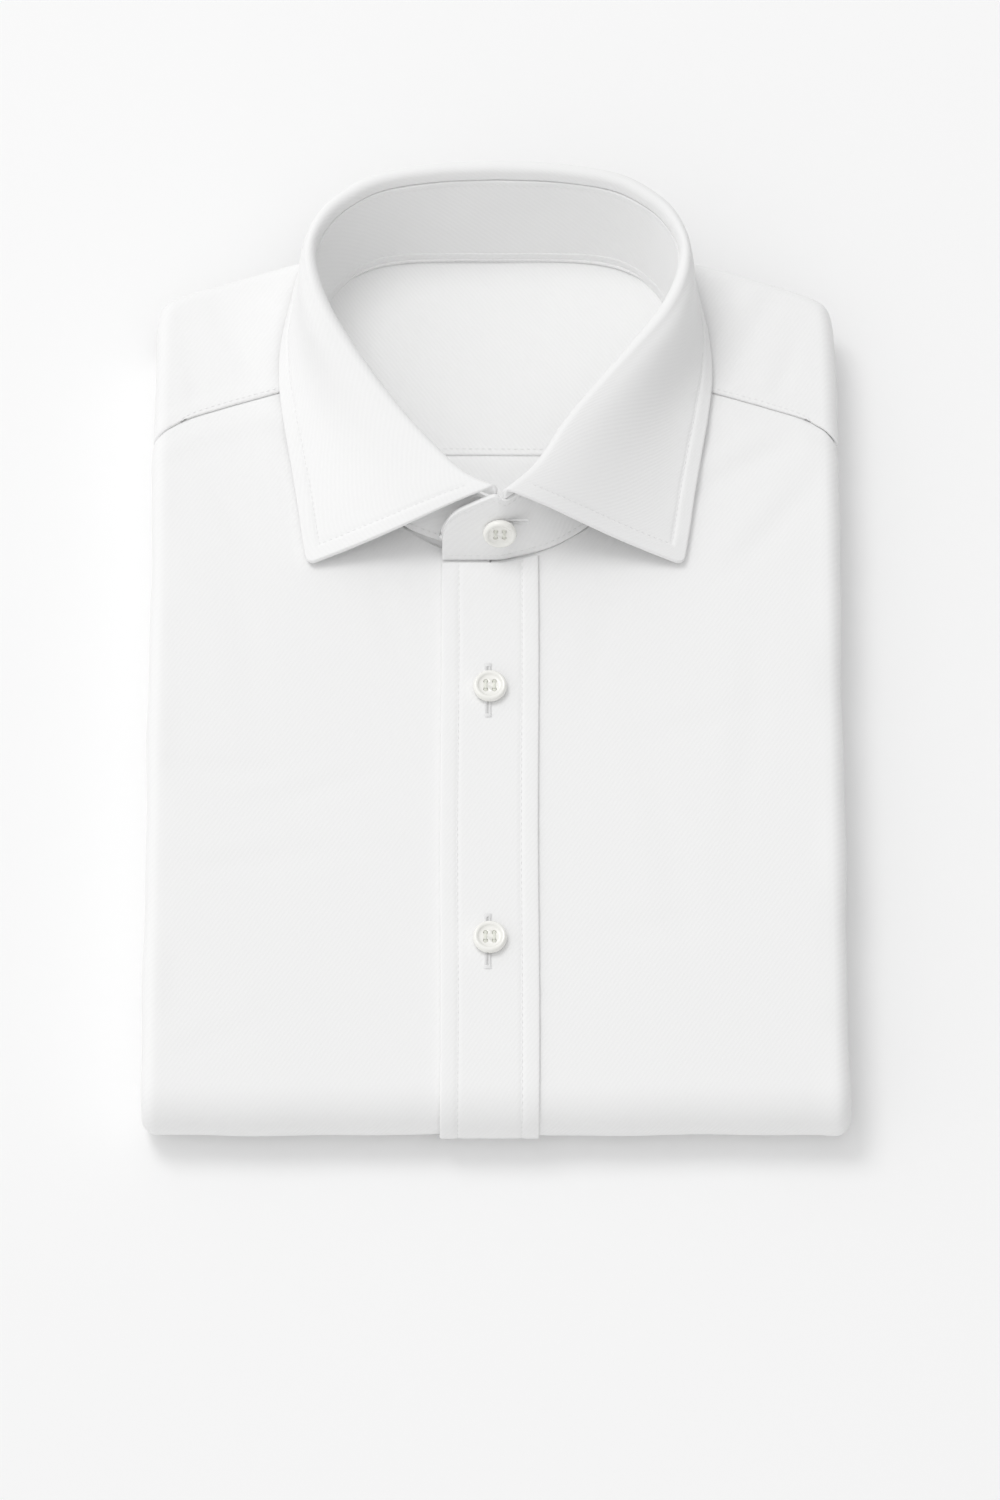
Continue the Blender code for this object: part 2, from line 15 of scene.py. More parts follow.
import bpy
import numpy as np
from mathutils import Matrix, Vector

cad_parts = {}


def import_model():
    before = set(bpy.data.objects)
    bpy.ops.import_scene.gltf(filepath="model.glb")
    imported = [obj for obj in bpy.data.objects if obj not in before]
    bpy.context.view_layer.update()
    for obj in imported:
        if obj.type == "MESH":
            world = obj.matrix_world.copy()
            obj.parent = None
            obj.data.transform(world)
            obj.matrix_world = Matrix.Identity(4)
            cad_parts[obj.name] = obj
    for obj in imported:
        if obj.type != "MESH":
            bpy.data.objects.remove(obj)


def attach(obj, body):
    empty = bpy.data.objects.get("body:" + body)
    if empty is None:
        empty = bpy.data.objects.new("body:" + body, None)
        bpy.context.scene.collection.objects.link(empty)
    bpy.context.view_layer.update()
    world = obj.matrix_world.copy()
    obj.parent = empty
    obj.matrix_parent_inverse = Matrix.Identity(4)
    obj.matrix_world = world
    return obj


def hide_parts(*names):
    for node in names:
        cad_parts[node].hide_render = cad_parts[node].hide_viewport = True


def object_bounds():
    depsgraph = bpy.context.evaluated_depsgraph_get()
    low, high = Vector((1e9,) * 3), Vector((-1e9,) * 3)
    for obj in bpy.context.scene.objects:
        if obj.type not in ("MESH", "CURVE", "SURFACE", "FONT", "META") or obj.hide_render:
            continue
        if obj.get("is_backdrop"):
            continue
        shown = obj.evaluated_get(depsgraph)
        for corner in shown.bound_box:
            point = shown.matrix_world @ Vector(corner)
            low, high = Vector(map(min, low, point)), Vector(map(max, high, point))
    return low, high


LOG = logging.getLogger("folded_shirt")

MM = 0.001
CENTRE_Y = 180.0

Table = tuple[tuple[float, ...], ...]
Colour = tuple[float, float, float]
Socket = bpy.types.NodeSocket
Tube = tuple[np.ndarray, np.ndarray]

# How the ribs cross the cloth, how far they wander, and the share of the plain threads
RIB_SLOPE = (0.82, 0.57)
RIB_WANDER = 0.0006
THREAD_SHARE = 0.12


class Side(Enum):
    """Which half of the shirt a piece belongs to, as the sign of its x."""

    LEFT_FRONT = 1
    RIGHT_FRONT = -1


class Stage(Enum):
    """Which stretch of the folded bundle a point lies on."""

    TOP = "top"
    FOLD = "fold"
    UNDER = "under"


# Finishes


def node(
    tree: bpy.types.NodeTree, kind: str, values: dict[str, object] | None = None, **settings: object
) -> bpy.types.Node:
    """Adds a shader node.

    Args:
        tree: The node tree to add to.
        kind: The node's type name.
        values: Input socket values by socket name.
        settings: Properties of the node itself.

    Returns:
        The new node.
    """
    made = tree.nodes.new(kind)
    for name, value in settings.items():
        setattr(made, name, value)
    for name, value in (values or {}).items():
        made.inputs[name].default_value = value
    return made


def math_node(
    tree: bpy.types.NodeTree, operation: str, first: Socket | float, second: Socket | float = 0.0
) -> Socket:
    """Adds a Math node fed by sockets or numbers.

    Args:
        tree: The node tree to add to.
        operation: The Math operation.
        first: The first operand.
        second: The second operand.

    Returns:
        The result's socket.
    """
    made = node(tree, "ShaderNodeMath", operation=operation)
    for index, operand in enumerate((first, second)):
        if isinstance(operand, (int, float)):
            made.inputs[index].default_value = operand
        else:
            tree.links.new(operand, made.inputs[index])
    return made.outputs[0]


def new_group(name: str, inputs: dict[str, float], outputs: Sequence[str]) -> tuple:
    """Starts a shader node group with named number inputs and outputs.

    Args:
        name: The group's name.
        inputs: Each input's name and default.
        outputs: The outputs' names.

    Returns:
        The group, its input node and its output node.
    """
    group = bpy.data.node_groups.new(name, "ShaderNodeTree")
    for label, value in inputs.items():
        socket = group.interface.new_socket(label, in_out="INPUT", socket_type="NodeSocketFloat")
        socket.default_value = value
    for label in outputs:
        group.interface.new_socket(label, in_out="OUTPUT", socket_type="NodeSocketFloat")
    return group, node(group, "NodeGroupInput"), node(group, "NodeGroupOutput")


def noise(tree: bpy.types.NodeTree, place: Socket, values: dict[str, object]) -> bpy.types.Node:
    """Adds a noise texture that reads the given coordinates.

    Args:
        tree: The node tree.
        place: The coordinates.
        values: The texture's settings.

    Returns:
        The texture's node.
    """
    made = node(tree, "ShaderNodeTexNoise", values)
    tree.links.new(place, made.inputs["Vector"])
    return made


def wave(tree: bpy.types.NodeTree, place: Socket, spacing: Socket) -> Socket:
    """Adds a sine wave with one full turn for each spacing."""
    turns = math_node(tree, "DIVIDE", place, spacing)
    return math_node(tree, "SINE", math_node(tree, "MULTIPLY", turns, 2 * math.pi))


def twill_weave_group() -> bpy.types.NodeTree:
    """Builds the twill weave: fine diagonal ribs over a plain thread grid.

    Returns:
        A group whose Height and Shade follow the cloth's own coordinates in metres; Shade is the painted
        shade between the ribs.
    """
    group, given, result = new_group(
        "twill_weave",
        {"Rib Spacing": 0.0014, "Thread Spacing": 0.00045, "Unevenness": 0.35},
        ("Height", "Shade"),
    )
    flat = node(group, "ShaderNodeTexCoord").outputs["UV"]
    wobble = noise(group, flat, {"Scale": 260.0, "Detail": 2.0})
    split = node(group, "ShaderNodeSeparateXYZ")
    group.links.new(flat, split.inputs[0])
    along = math_node(group, "MULTIPLY", split.outputs["X"], RIB_SLOPE[0])
    across = math_node(group, "MULTIPLY", split.outputs["Y"], RIB_SLOPE[1])
    diagonal = math_node(group, "ADD", along, across)
    drift = math_node(group, "MULTIPLY", wobble.outputs["Fac"], RIB_WANDER)
    diagonal = math_node(group, "ADD", diagonal, drift)
    ribs = wave(group, diagonal, given.outputs["Rib Spacing"])
    ribs = math_node(group, "MULTIPLY_ADD", ribs, 0.5)
    ribs.node.inputs[2].default_value = 0.5
    threads = [wave(group, split.outputs[axis], given.outputs["Thread Spacing"]) for axis in ("X", "Y")]
    grid = math_node(group, "MULTIPLY", threads[0], threads[1])
    grid = math_node(group, "MULTIPLY", grid, THREAD_SHARE)
    height = math_node(group, "ADD", ribs, grid)
    cloudy = noise(group, flat, {"Scale": 55.0, "Detail": 3.0})
    uneven = math_node(group, "MULTIPLY", cloudy.outputs["Fac"], given.outputs["Unevenness"])
    height = math_node(group, "ADD", height, uneven)
    group.links.new(height, result.inputs["Height"])
    group.links.new(ribs, result.inputs["Shade"])
    return group


def pressed_cloth_group() -> bpy.types.NodeTree:
    """Builds the faint waves that an iron leaves in cotton, and painted shade that follows them.

    Returns:
        A group with a Height for bump and a Tone, painted shade from the same wide waves, darker where
        they sink.
    """
    group, given, result = new_group("pressed_cloth", {"Wave Scale": 22.0}, ("Height", "Tone"))
    place = node(group, "ShaderNodeTexCoord").outputs["Object"]
    wide = noise(group, place, {"Detail": 2.0, "Roughness": 0.45})
    group.links.new(given.outputs["Wave Scale"], wide.inputs["Scale"])
    fine = noise(group, place, {"Scale": 140.0, "Detail": 3.0})
    small = math_node(group, "MULTIPLY", fine.outputs["Fac"], 0.12)
    height = math_node(group, "ADD", wide.outputs["Fac"], small)
    group.links.new(height, result.inputs["Height"])
    # The Tone is painted shade: the wide waves' own height, so the colour darkens where they sink.
    group.links.new(wide.outputs["Fac"], result.inputs["Tone"])
    return group


def new_material(name: str) -> tuple[bpy.types.Material, bpy.types.NodeTree, bpy.types.Node]:
    """Starts a material.

    Args:
        name: The material's name.

    Returns:
        The material, its node tree and its shader.
    """
    material = bpy.data.materials.new(name)
    material.use_nodes = True
    return material, material.node_tree, material.node_tree.nodes["Principled BSDF"]


def mixed_colour(tree: bpy.types.NodeTree, share: Socket, dark: Colour, light: Colour) -> Socket:
    """Mixes two colours by a share that changes over the surface.

    Args:
        tree: The node tree to add to.
        share: How much of the light colour shows.
        dark: The colour where the share is 0.
        light: The colour where the share is 1.

    Returns:
        The colour's socket.
    """
    mix = node(tree, "ShaderNodeMix", data_type="RGBA")
    mix.inputs[6].default_value = (*dark, 1.0)
    mix.inputs[7].default_value = (*light, 1.0)
    tree.links.new(share, mix.inputs[0])
    return mix.outputs[2]


@dataclass
class Effects:
    """The shader node groups that several finishes share, built once.

    Attributes:
        weave: The twill's ribs and threads.
        pressed: The waves and soft spots of ironed cotton.
    """

    weave: bpy.types.NodeTree = field(default_factory=twill_weave_group)
    pressed: bpy.types.NodeTree = field(default_factory=pressed_cloth_group)


@dataclass(frozen=True)
class ClothFinish:
    """White cotton twill, as soft and as finely ribbed as this piece shows it.

    Attributes:
        name: The material's name.
        light: Colour of the ribs' tops, painted as lit cloth.
        dark: Colour between the ribs, painted as the shade that falls there.
        roughness: How rough the cloth is.
        sheen: How much it glows at a low angle.
        rib_spacing: Distance from rib to rib, in metres.
        weave_depth: Height of the weave's bump, in metres.
        wave_depth: Height of the ironed waves' bump, in metres.
        rib_contrast: Share of the ribs' painted shade in the colour, next to the painted shade of the
            ironed waves.
    """

    name: str
    light: Colour
    dark: Colour
    roughness: float = 0.86
    sheen: float = 0.12
    rib_spacing: float = 0.0014
    weave_depth: float = 0.00003
    wave_depth: float = 0.0002
    rib_contrast: float = 0.5

    def make(self, effects: Effects) -> bpy.types.Material:
        """Builds the material.

        Args:
            effects: The shared node groups.

        Returns:
            The cloth's material.
        """
        material, tree, shader = new_material(self.name)
        link = tree.links.new
        shader.inputs["Roughness"].default_value = self.roughness
        shader.inputs["Sheen Weight"].default_value = self.sheen
        shader.inputs["Sheen Roughness"].default_value = 0.6
        shader.inputs["Specular IOR Level"].default_value = 0.2
        weave = node(tree, "ShaderNodeGroup", node_tree=effects.weave)
        weave.inputs["Rib Spacing"].default_value = self.rib_spacing
        pressed = node(tree, "ShaderNodeGroup", node_tree=effects.pressed)
        # The base colour is painted shade: darker between the ribs and where the ironed waves sink.
        tone = math_node(tree, "MULTIPLY", weave.outputs["Shade"], self.rib_contrast)
        waves = math_node(tree, "MULTIPLY", pressed.outputs["Tone"], 1 - self.rib_contrast)
        tone = math_node(tree, "ADD", tone, waves)
        link(mixed_colour(tree, tone, self.dark, self.light), shader.inputs["Base Color"])
        waved = node(tree, "ShaderNodeBump", {"Distance": self.wave_depth, "Strength": 0.6})
        link(pressed.outputs["Height"], waved.inputs["Height"])
        ribbed = node(tree, "ShaderNodeBump", {"Distance": self.weave_depth, "Strength": 1.0})
        link(weave.outputs["Height"], ribbed.inputs["Height"])
        link(waved.outputs["Normal"], ribbed.inputs["Normal"])
        link(ribbed.outputs["Normal"], shader.inputs["Normal"])
        return material


@dataclass(frozen=True)
class ThreadFinish:
    """Twisted sewing thread, with a little sheen along its ply.

    Attributes:
        name: The material's name.
        colour: Colour of the thread's lightest plies.
        shaded: How dark the painted shade in the gaps between its plies is, as a share of the colour.
    """

    name: str
    colour: Colour
    shaded: float = 0.93

    def make(self) -> bpy.types.Material:
        """Builds the material.

        Returns:
            The thread's material.
        """
        material, tree, shader = new_material(self.name)
        link = tree.links.new
        shader.inputs["Roughness"].default_value = 0.6
        shader.inputs["Sheen Weight"].default_value = 0.25
        where = node(tree, "ShaderNodeTexCoord").outputs["Object"]
        ply = noise(tree, where, {"Scale": 2400.0, "Detail": 1.0}).outputs["Fac"]
        # The darker plies are painted shade in the gaps of the twist.
        dark = tuple(self.shaded * part for part in self.colour)
        link(mixed_colour(tree, ply, dark, self.colour), shader.inputs["Base Color"])
        bump = node(tree, "ShaderNodeBump", {"Distance": 0.00005, "Strength": 0.5})
        link(ply, bump.inputs["Height"])
        link(bump.outputs["Normal"], shader.inputs["Normal"])
        return material


@dataclass(frozen=True)
class ButtonFinish:
    """Polished ivory-white resin with faint drifting layers, like shell.

    Attributes:
        name: The material's name.
        light: Colour of the lightest layer.
        dark: Colour of the darkest layer.
        smoothest: Roughness where the polish is best.
        unevenness: How far the roughness rises from there.
    """

    name: str
    light: Colour
    dark: Colour
    smoothest: float = 0.2
    unevenness: float = 0.16

    def make(self) -> bpy.types.Material:
        """Builds the material.

        Returns:
            The buttons' material.
        """
        material, tree, shader = new_material(self.name)
        link = tree.links.new
        shader.inputs["Coat Weight"].default_value = 0.5
        shader.inputs["Coat Roughness"].default_value = 0.12
        where = node(tree, "ShaderNodeTexCoord").outputs["Object"]
        layers = noise(tree, where, {"Scale": 180.0, "Detail": 2.0, "Distortion": 1.5})
        drift = layers.outputs["Fac"]
        link(mixed_colour(tree, drift, self.dark, self.light), shader.inputs["Base Color"])
        rough = math_node(tree, "MULTIPLY", drift, self.unevenness)
        link(math_node(tree, "ADD", rough, self.smoothest), shader.inputs["Roughness"])
        return material


# Cloth as grids of points, in table millimetres


def interpolate(table: Table, places: Sequence[float]) -> np.ndarray:
    """Samples a smooth curve that runs through the rows of a table.

    Args:
        table: Rows of numbers.
        places: Where to sample: 0 is the first row, 1 the next, and so on between them.

    Returns:
        The samples, one row each.
    """
    rows = np.array(table, float)
    padded = np.vstack([2 * rows[0] - rows[1], rows, 2 * rows[-1] - rows[-2]])
    out = []
    for place in places:
        start = min(int(place), len(rows) - 2)
        t = place - start
        before, here, there, after = padded[start : start + 4]
        bend = (2 * before - 5 * here + 4 * there - after) * t**2
        twist = (3 * here - before - 3 * there + after) * t**3
        out.append(0.5 * (2 * here + (there - before) * t + bend + twist))
    return np.array(out)


def smooth_step(value: np.ndarray | float, start: float, end: float) -> np.ndarray:
    """Rises softly from 0 at start to 1 at end."""
    share = np.clip((np.asarray(value, float) - start) / (end - start), 0, 1)
    return share * share * (3 - 2 * share)


def spaced(start: float, end: float, step: float) -> list[float]:
    """Evenly spaced values from start up to, and leaving out, end."""
    count = max(1, round(abs(end - start) / step))
    return [start + (end - start) * index / count for index in range(count)]


def bell(value: np.ndarray | float, centre: float, width: float) -> np.ndarray:
    """A soft hump: 1 at its centre, and near 0 from twice the width away."""
    return np.exp(-(((value - centre) / width) ** 2))


def grid_normals(grid: np.ndarray) -> np.ndarray:
    """Unit normals of a grid of points, from the lines along and across it."""
    normals = np.cross(np.gradient(grid, axis=0), np.gradient(grid, axis=1))
    return normals / np.maximum(np.linalg.norm(normals, axis=2, keepdims=True), 1e-9)


def arc_lengths(grid: np.ndarray, axis: int) -> np.ndarray:
    """Measures along each line of a grid, from its first point.

    Args:
        grid: The points.
        axis: The axis of the grid that the lines follow.

    Returns:
        The distance of each point along its line.
    """
    steps = np.linalg.norm(np.diff(grid, axis=axis), axis=2)
    zero = np.zeros_like(np.take(steps, [0], axis=axis))
    return np.concatenate([zero, np.cumsum(steps, axis=axis)], axis=axis)


@dataclass(frozen=True)
class Crease:
    """A soft trough with a ridge beside it, pressed or worn into the cloth.

    Attributes:
        x: Distance of its middle from the middle of the shirt.
        y: Distance of its middle up from the bottom fold.
        angle: Its direction in degrees, from level.
        length: Its length, fading to both ends.
        width: Half the width of the trough.
        depth: Depth of the trough at its middle.
    """

    x: float
    y: float
    angle: float
    length: float
    width: float
    depth: float

    def height(self, x: np.ndarray, y: np.ndarray) -> np.ndarray:
        """How far the crease lifts or sinks the cloth at these places.

        Args:
            x: Distance from the middle of the shirt.
            y: Distance up from the bottom fold.

        Returns:
            The displacement along the cloth's normal, in millimetres.
        """
        turn = math.radians(self.angle)
        along = (x - self.x) * math.cos(turn) + (y - self.y) * math.sin(turn)
        bend = 0.06 * self.length * (along / self.length) ** 2
        across = (y - self.y) * math.cos(turn) - (x - self.x) * math.sin(turn) - bend
        fade = bell(along, 0.0, self.length / 2.1)
        trough = -bell(across, 0.0, self.width)
        ridge = 0.6 * bell(across, 1.7 * self.width, 1.2 * self.width)
        return self.depth * fade * (trough + ridge)


def worn_by(creases: Sequence[Crease], x: np.ndarray, y: np.ndarray) -> np.ndarray:
    """How far all of these creases together move the cloth at these places."""
    return sum(crease.height(x, y) for crease in creases)


@dataclass
class Sheet:
    """One layer of cloth as a grid over its outer face.

    Attributes:
        outer: Points of the outer face, in table millimetres.
        depth: The cloth's thickness, one number or one for each point.
        pattern: Where each point lies on the flat cloth, for the weave. Left out, it is
            measured along the grid itself.
        turned: Whether the grid's own normals point into the cloth.
        rim: The largest radius of its rounded edges.
    """

    outer: np.ndarray
    depth: np.ndarray | float
    pattern: np.ndarray | None = None
    turned: bool = False
    rim: float = 2.0

    def __post_init__(self) -> None:
        """Gives every point its own depth and its place on the flat cloth."""
        self.depth = np.broadcast_to(self.depth, self.outer.shape[:2]).astype(float)
        if self.pattern is None:
            across, along = arc_lengths(self.outer, 1), arc_lengths(self.outer, 0)
            self.pattern = np.stack([across, along], axis=2)

    def normals(self) -> np.ndarray:
        """The way out of the cloth at each point."""
        return grid_normals(self.outer) * (-1.0 if self.turned else 1.0)

    def flat_area(self) -> float:
        """Measures the outer face.

        Returns:
            Its area in square metres.
        """
        grid = self.outer
        first = np.cross(grid[1:, :-1] - grid[:-1, :-1], grid[1:, 1:] - grid[:-1, :-1])
        second = np.cross(grid[1:, 1:] - grid[:-1, :-1], grid[:-1, 1:] - grid[:-1, :-1])
        both = np.linalg.norm(first, axis=2).sum() + np.linalg.norm(second, axis=2).sum()
        return float(both) / 2 * MM * MM

    def line(self, edge: str, inset: float, start: int = 0, end: int | None = None) -> "Seam":
        """The line that runs at a distance inside one edge of the sheet.

        Args:
            edge: first_row, last_row, first_column or last_column.
            inset: The distance from that edge.
            start: First grid line used.
            end: The grid line to stop before.

        Returns:
            The line's points and normals.
        """
        grid, normals = self.outer, self.normals()
        if edge.endswith("row"):
            grid, normals = grid.transpose(1, 0, 2), normals.transpose(1, 0, 2)
        if edge.startswith("last"):
            grid, normals = grid[:, ::-1], normals[:, ::-1]
        grid, normals = grid[start:end], normals[start:end]
        lengths = arc_lengths(grid, 1)
        points, ups = [], []
        for row in range(len(grid)):
            spot = [np.interp(inset, lengths[row], grid[row, :, axis]) for axis in range(3)]
            up = [np.interp(inset, lengths[row], normals[row, :, axis]) for axis in range(3)]
            points.append(spot)
            ups.append(up)
        return Seam(np.array(points), np.array(ups))

    def faces_and_pattern(self) -> tuple[np.ndarray, np.ndarray, np.ndarray]:
        """Rounds the four edges and gives both faces of the cloth.

        Returns:
            Points of the outer face, points of the inner face and the pattern.
        """
        fields = np.concatenate(
            [self.outer, self.normals(), self.depth[..., None], self.pattern], axis=2
        )
        share = np.ones(self.outer.shape[:2])
        for _ in range(2):
            for _ in range(2):
                fields, share = self._rounded_edge(fields, share)
                fields, share = fields[::-1], share[::-1]
            fields, share = fields.transpose(1, 0, 2), share.T
        outward = fields[..., 3:6] * fields[..., 6:7] / 2
        middle = fields[..., :3] - outward
        reach = outward * share[..., None]
        return middle + reach, middle - reach, fields[..., 7:]

    def _rounded_edge(self, fields: np.ndarray, share: np.ndarray) -> tuple[np.ndarray, np.ndarray]:
        """Puts four lines in place of the first row, so that the edge becomes half round.

        Args:
            fields: Point, normal, depth and pattern of each place.
            share: How much of the depth is left at each place.

        Returns:
            Both, with the new lines.
        """
        step = fields[1] - fields[0]
        reach = np.linalg.norm(step[:, :3], axis=1, keepdims=True)
        radius = np.minimum(np.minimum(fields[0][:, 6:7] / 2, self.rim), 0.8 * reach)
        lines, shares = [], []
        for angle in (86.0, 60.0, 32.0, 8.0):
            turn = math.radians(angle)
            lines.append(fields[0] + step * (radius / reach) * (1 - math.sin(turn)))
            shares.append(share[0] * math.cos(turn))
        return np.vstack([lines, fields[1:]]), np.vstack([shares, share[1:]])


@dataclass
class Seam:
    """A line over cloth, with the way up at each point.

    Attributes:
        points: The line's points.
        ups: Unit direction away from the cloth at each point.
    """

    points: np.ndarray
    ups: np.ndarray

    def where(self, kept: np.ndarray | slice) -> "Seam":
        """The stretch of the line at the points kept."""
        return Seam(self.points[kept], self.ups[kept])


def add_object(
    name: str,
    points: np.ndarray,
    faces: Sequence[Sequence[int]],
    material: bpy.types.Material,
    pattern: np.ndarray | None = None,
) -> bpy.types.Object:
    """Adds a smooth mesh given in table millimetres.

    Args:
        name: The object's name.
        points: The corners.
        faces: Each face's corners in order.
        material: The finish.
        pattern: Each corner's place on the flat cloth, in millimetres.

    Returns:
        The new object, linked to the scene.
    """
    mesh = bpy.data.meshes.new(name)
    placed = (np.asarray(points, float) - (0.0, CENTRE_Y, 0.0)) * MM
    mesh.from_pydata(placed.tolist(), [], faces)
    mesh.materials.append(material)
    mesh.update()
    mesh.polygons.foreach_set("use_smooth", np.ones(len(mesh.polygons), bool))
    if pattern is not None:
        corners = np.empty(len(mesh.loops), int)
        mesh.loops.foreach_get("vertex_index", corners)
        layer = mesh.uv_layers.new(name="pattern")
        layer.data.foreach_set("uv", (np.asarray(pattern)[corners] * MM).ravel())
    made = bpy.data.objects.new(name, mesh)
    bpy.context.scene.collection.objects.link(made)
    return made


def grid_faces(rows: int, columns: int, closed: bool = False) -> np.ndarray:
    """Lays quads over a grid of corners.

    Args:
        rows: Lines of corners.
        columns: Corners in each line.
        closed: Whether the last column joins the first.

    Returns:
        The quads.
    """
    index = np.arange(rows * columns).reshape(rows, columns)
    if closed:
        index = np.concatenate([index, index[:, :1]], axis=1)
    corners = (index[:-1, :-1], index[1:, :-1], index[1:, 1:], index[:-1, 1:])
    return np.stack(corners, axis=2).reshape(-1, 4)


def add_cloth(name: str, sheets: Sequence[Sheet], material: bpy.types.Material) -> bpy.types.Object:
    """Adds layers of cloth as one object of closed, soft-edged walls.

    Args:
        name: The object's name.
        sheets: The layers.
        material: The finish.

    Returns:
        The new object.
    """
    points, faces, patterns = [], [], []
    offset = 0
    for sheet in sheets:
        upper, lower, pattern = sheet.faces_and_pattern()
        rows, columns = upper.shape[:2]
        count = rows * columns
        points += [upper.reshape(-1, 3), lower.reshape(-1, 3)]
        patterns += [pattern.reshape(-1, 2)] * 2
        top = grid_faces(rows, columns)
        index = np.arange(count).reshape(rows, columns)
        ring = np.concatenate([index[0], index[1:, -1], index[-1, -2::-1], index[-2:0:-1, 0]])
        after = np.roll(ring, -1)
        walls = np.stack([ring, after, after + count, ring + count], axis=1)
        every = np.vstack([top, top[:, ::-1] + count, walls])
        faces.append((every[:, ::-1] if sheet.turned else every) + offset)
        offset += 2 * count
    made = add_object(name, np.vstack(points), np.vstack(faces).tolist(), material, np.vstack(patterns))
    area = sum(sheet.flat_area() for sheet in sheets)
    LOG.info("%s: %d layers, %.4f m2, %d faces", name, len(sheets), area, len(made.data.polygons))
    return made


# Sewing


def tube(path: np.ndarray, radius: np.ndarray, sides: int = 6) -> Tube:
    """Corners and faces of a round tube along a path, closed at both ends by its taper.

    Args:
        path: Points along the middle.
        radius: The radius at each point.
        sides: Corners around.

    Returns:
        The corners and the quads.
    """
    ahead = np.gradient(path, axis=0)
    ahead /= np.maximum(np.linalg.norm(ahead, axis=1, keepdims=True), 1e-9)
    helper = np.where(np.abs(ahead[:, 2:3]) > 0.9, (1.0, 0.0, 0.0), (0.0, 0.0, 1.0))
    first = np.cross(ahead, helper)
    first /= np.linalg.norm(first, axis=1, keepdims=True)
    second = np.cross(ahead, first)
    turns = 2 * np.pi * np.arange(sides) / sides
    rings = first[:, None] * np.cos(turns)[:, None] + second[:, None] * np.sin(turns)[:, None]
    corners = path[:, None] + rings * np.asarray(radius)[:, None, None]
    return corners.reshape(-1, 3), grid_faces(len(path), sides, closed=True)


def add_tubes(
    name: str, tubes: Sequence[Tube], material: bpy.types.Material
) -> bpy.types.Object:
    """Adds many tubes as one object.

    Args:
        name: The object's name.
        tubes: Corners and quads of each tube.
        material: The finish.

    Returns:
        The new object.
    """
    offset, faces = 0, []
    for corners, quads in tubes:
        faces.append(quads + offset)
        offset += len(corners)
    points = np.vstack([corners for corners, _ in tubes])
    made = add_object(name, points, np.vstack(faces).tolist(), material)
    LOG.info("%s: %d threads, %d faces", name, len(tubes), len(made.data.polygons))
    return made


@dataclass(frozen=True)
class StitchRow:
    """A row of lockstitches: short threads, sunk a little at both ends.

    Attributes:
        pitch: Distance from stitch to stitch.
        length: Length of each stitch.
        radius: Half the thread's thickness.
        unevenness: How far a stitch may start early or late.
    """

    pitch: float = 2.5
    length: float = 1.9
    radius: float = 0.17
    unevenness: float = 0.08

    def tubes(self, seam: Seam, chance: np.random.Generator) -> list[Tube]:
        """Lays the stitches along a seam.

        Args:
            seam: Where the row runs.
            chance: Source of the small unevenness of sewn stitches.

        Returns:
            One tube for each stitch.
        """
        gaps = np.linalg.norm(np.diff(seam.points, axis=0), axis=1)
        along = np.concatenate([[0.0], np.cumsum(gaps)])
        out = []
        for start in np.arange(0.4, along[-1] - self.pitch, self.pitch):
            begin = start + chance.uniform(-self.unevenness, self.unevenness)
            shares = np.linspace(0.0, 1.0, 6)
            where = begin + self.length * shares
            path = np.stack([np.interp(where, along, seam.points[:, axis]) for axis in range(3)], 1)
            up = np.stack([np.interp(where, along, seam.ups[:, axis]) for axis in range(3)], 1)
            rise = self.radius * (np.sin(np.pi * shares) * 1.15 - 0.55)
            taper = self.radius * np.sqrt(np.clip(np.sin(np.pi * shares), 0.03, 1))
            out.append(tube(path + up * rise[:, None], taper))
        return out


FINE_STITCHES = StitchRow(pitch=2.3, length=1.75, radius=0.15)


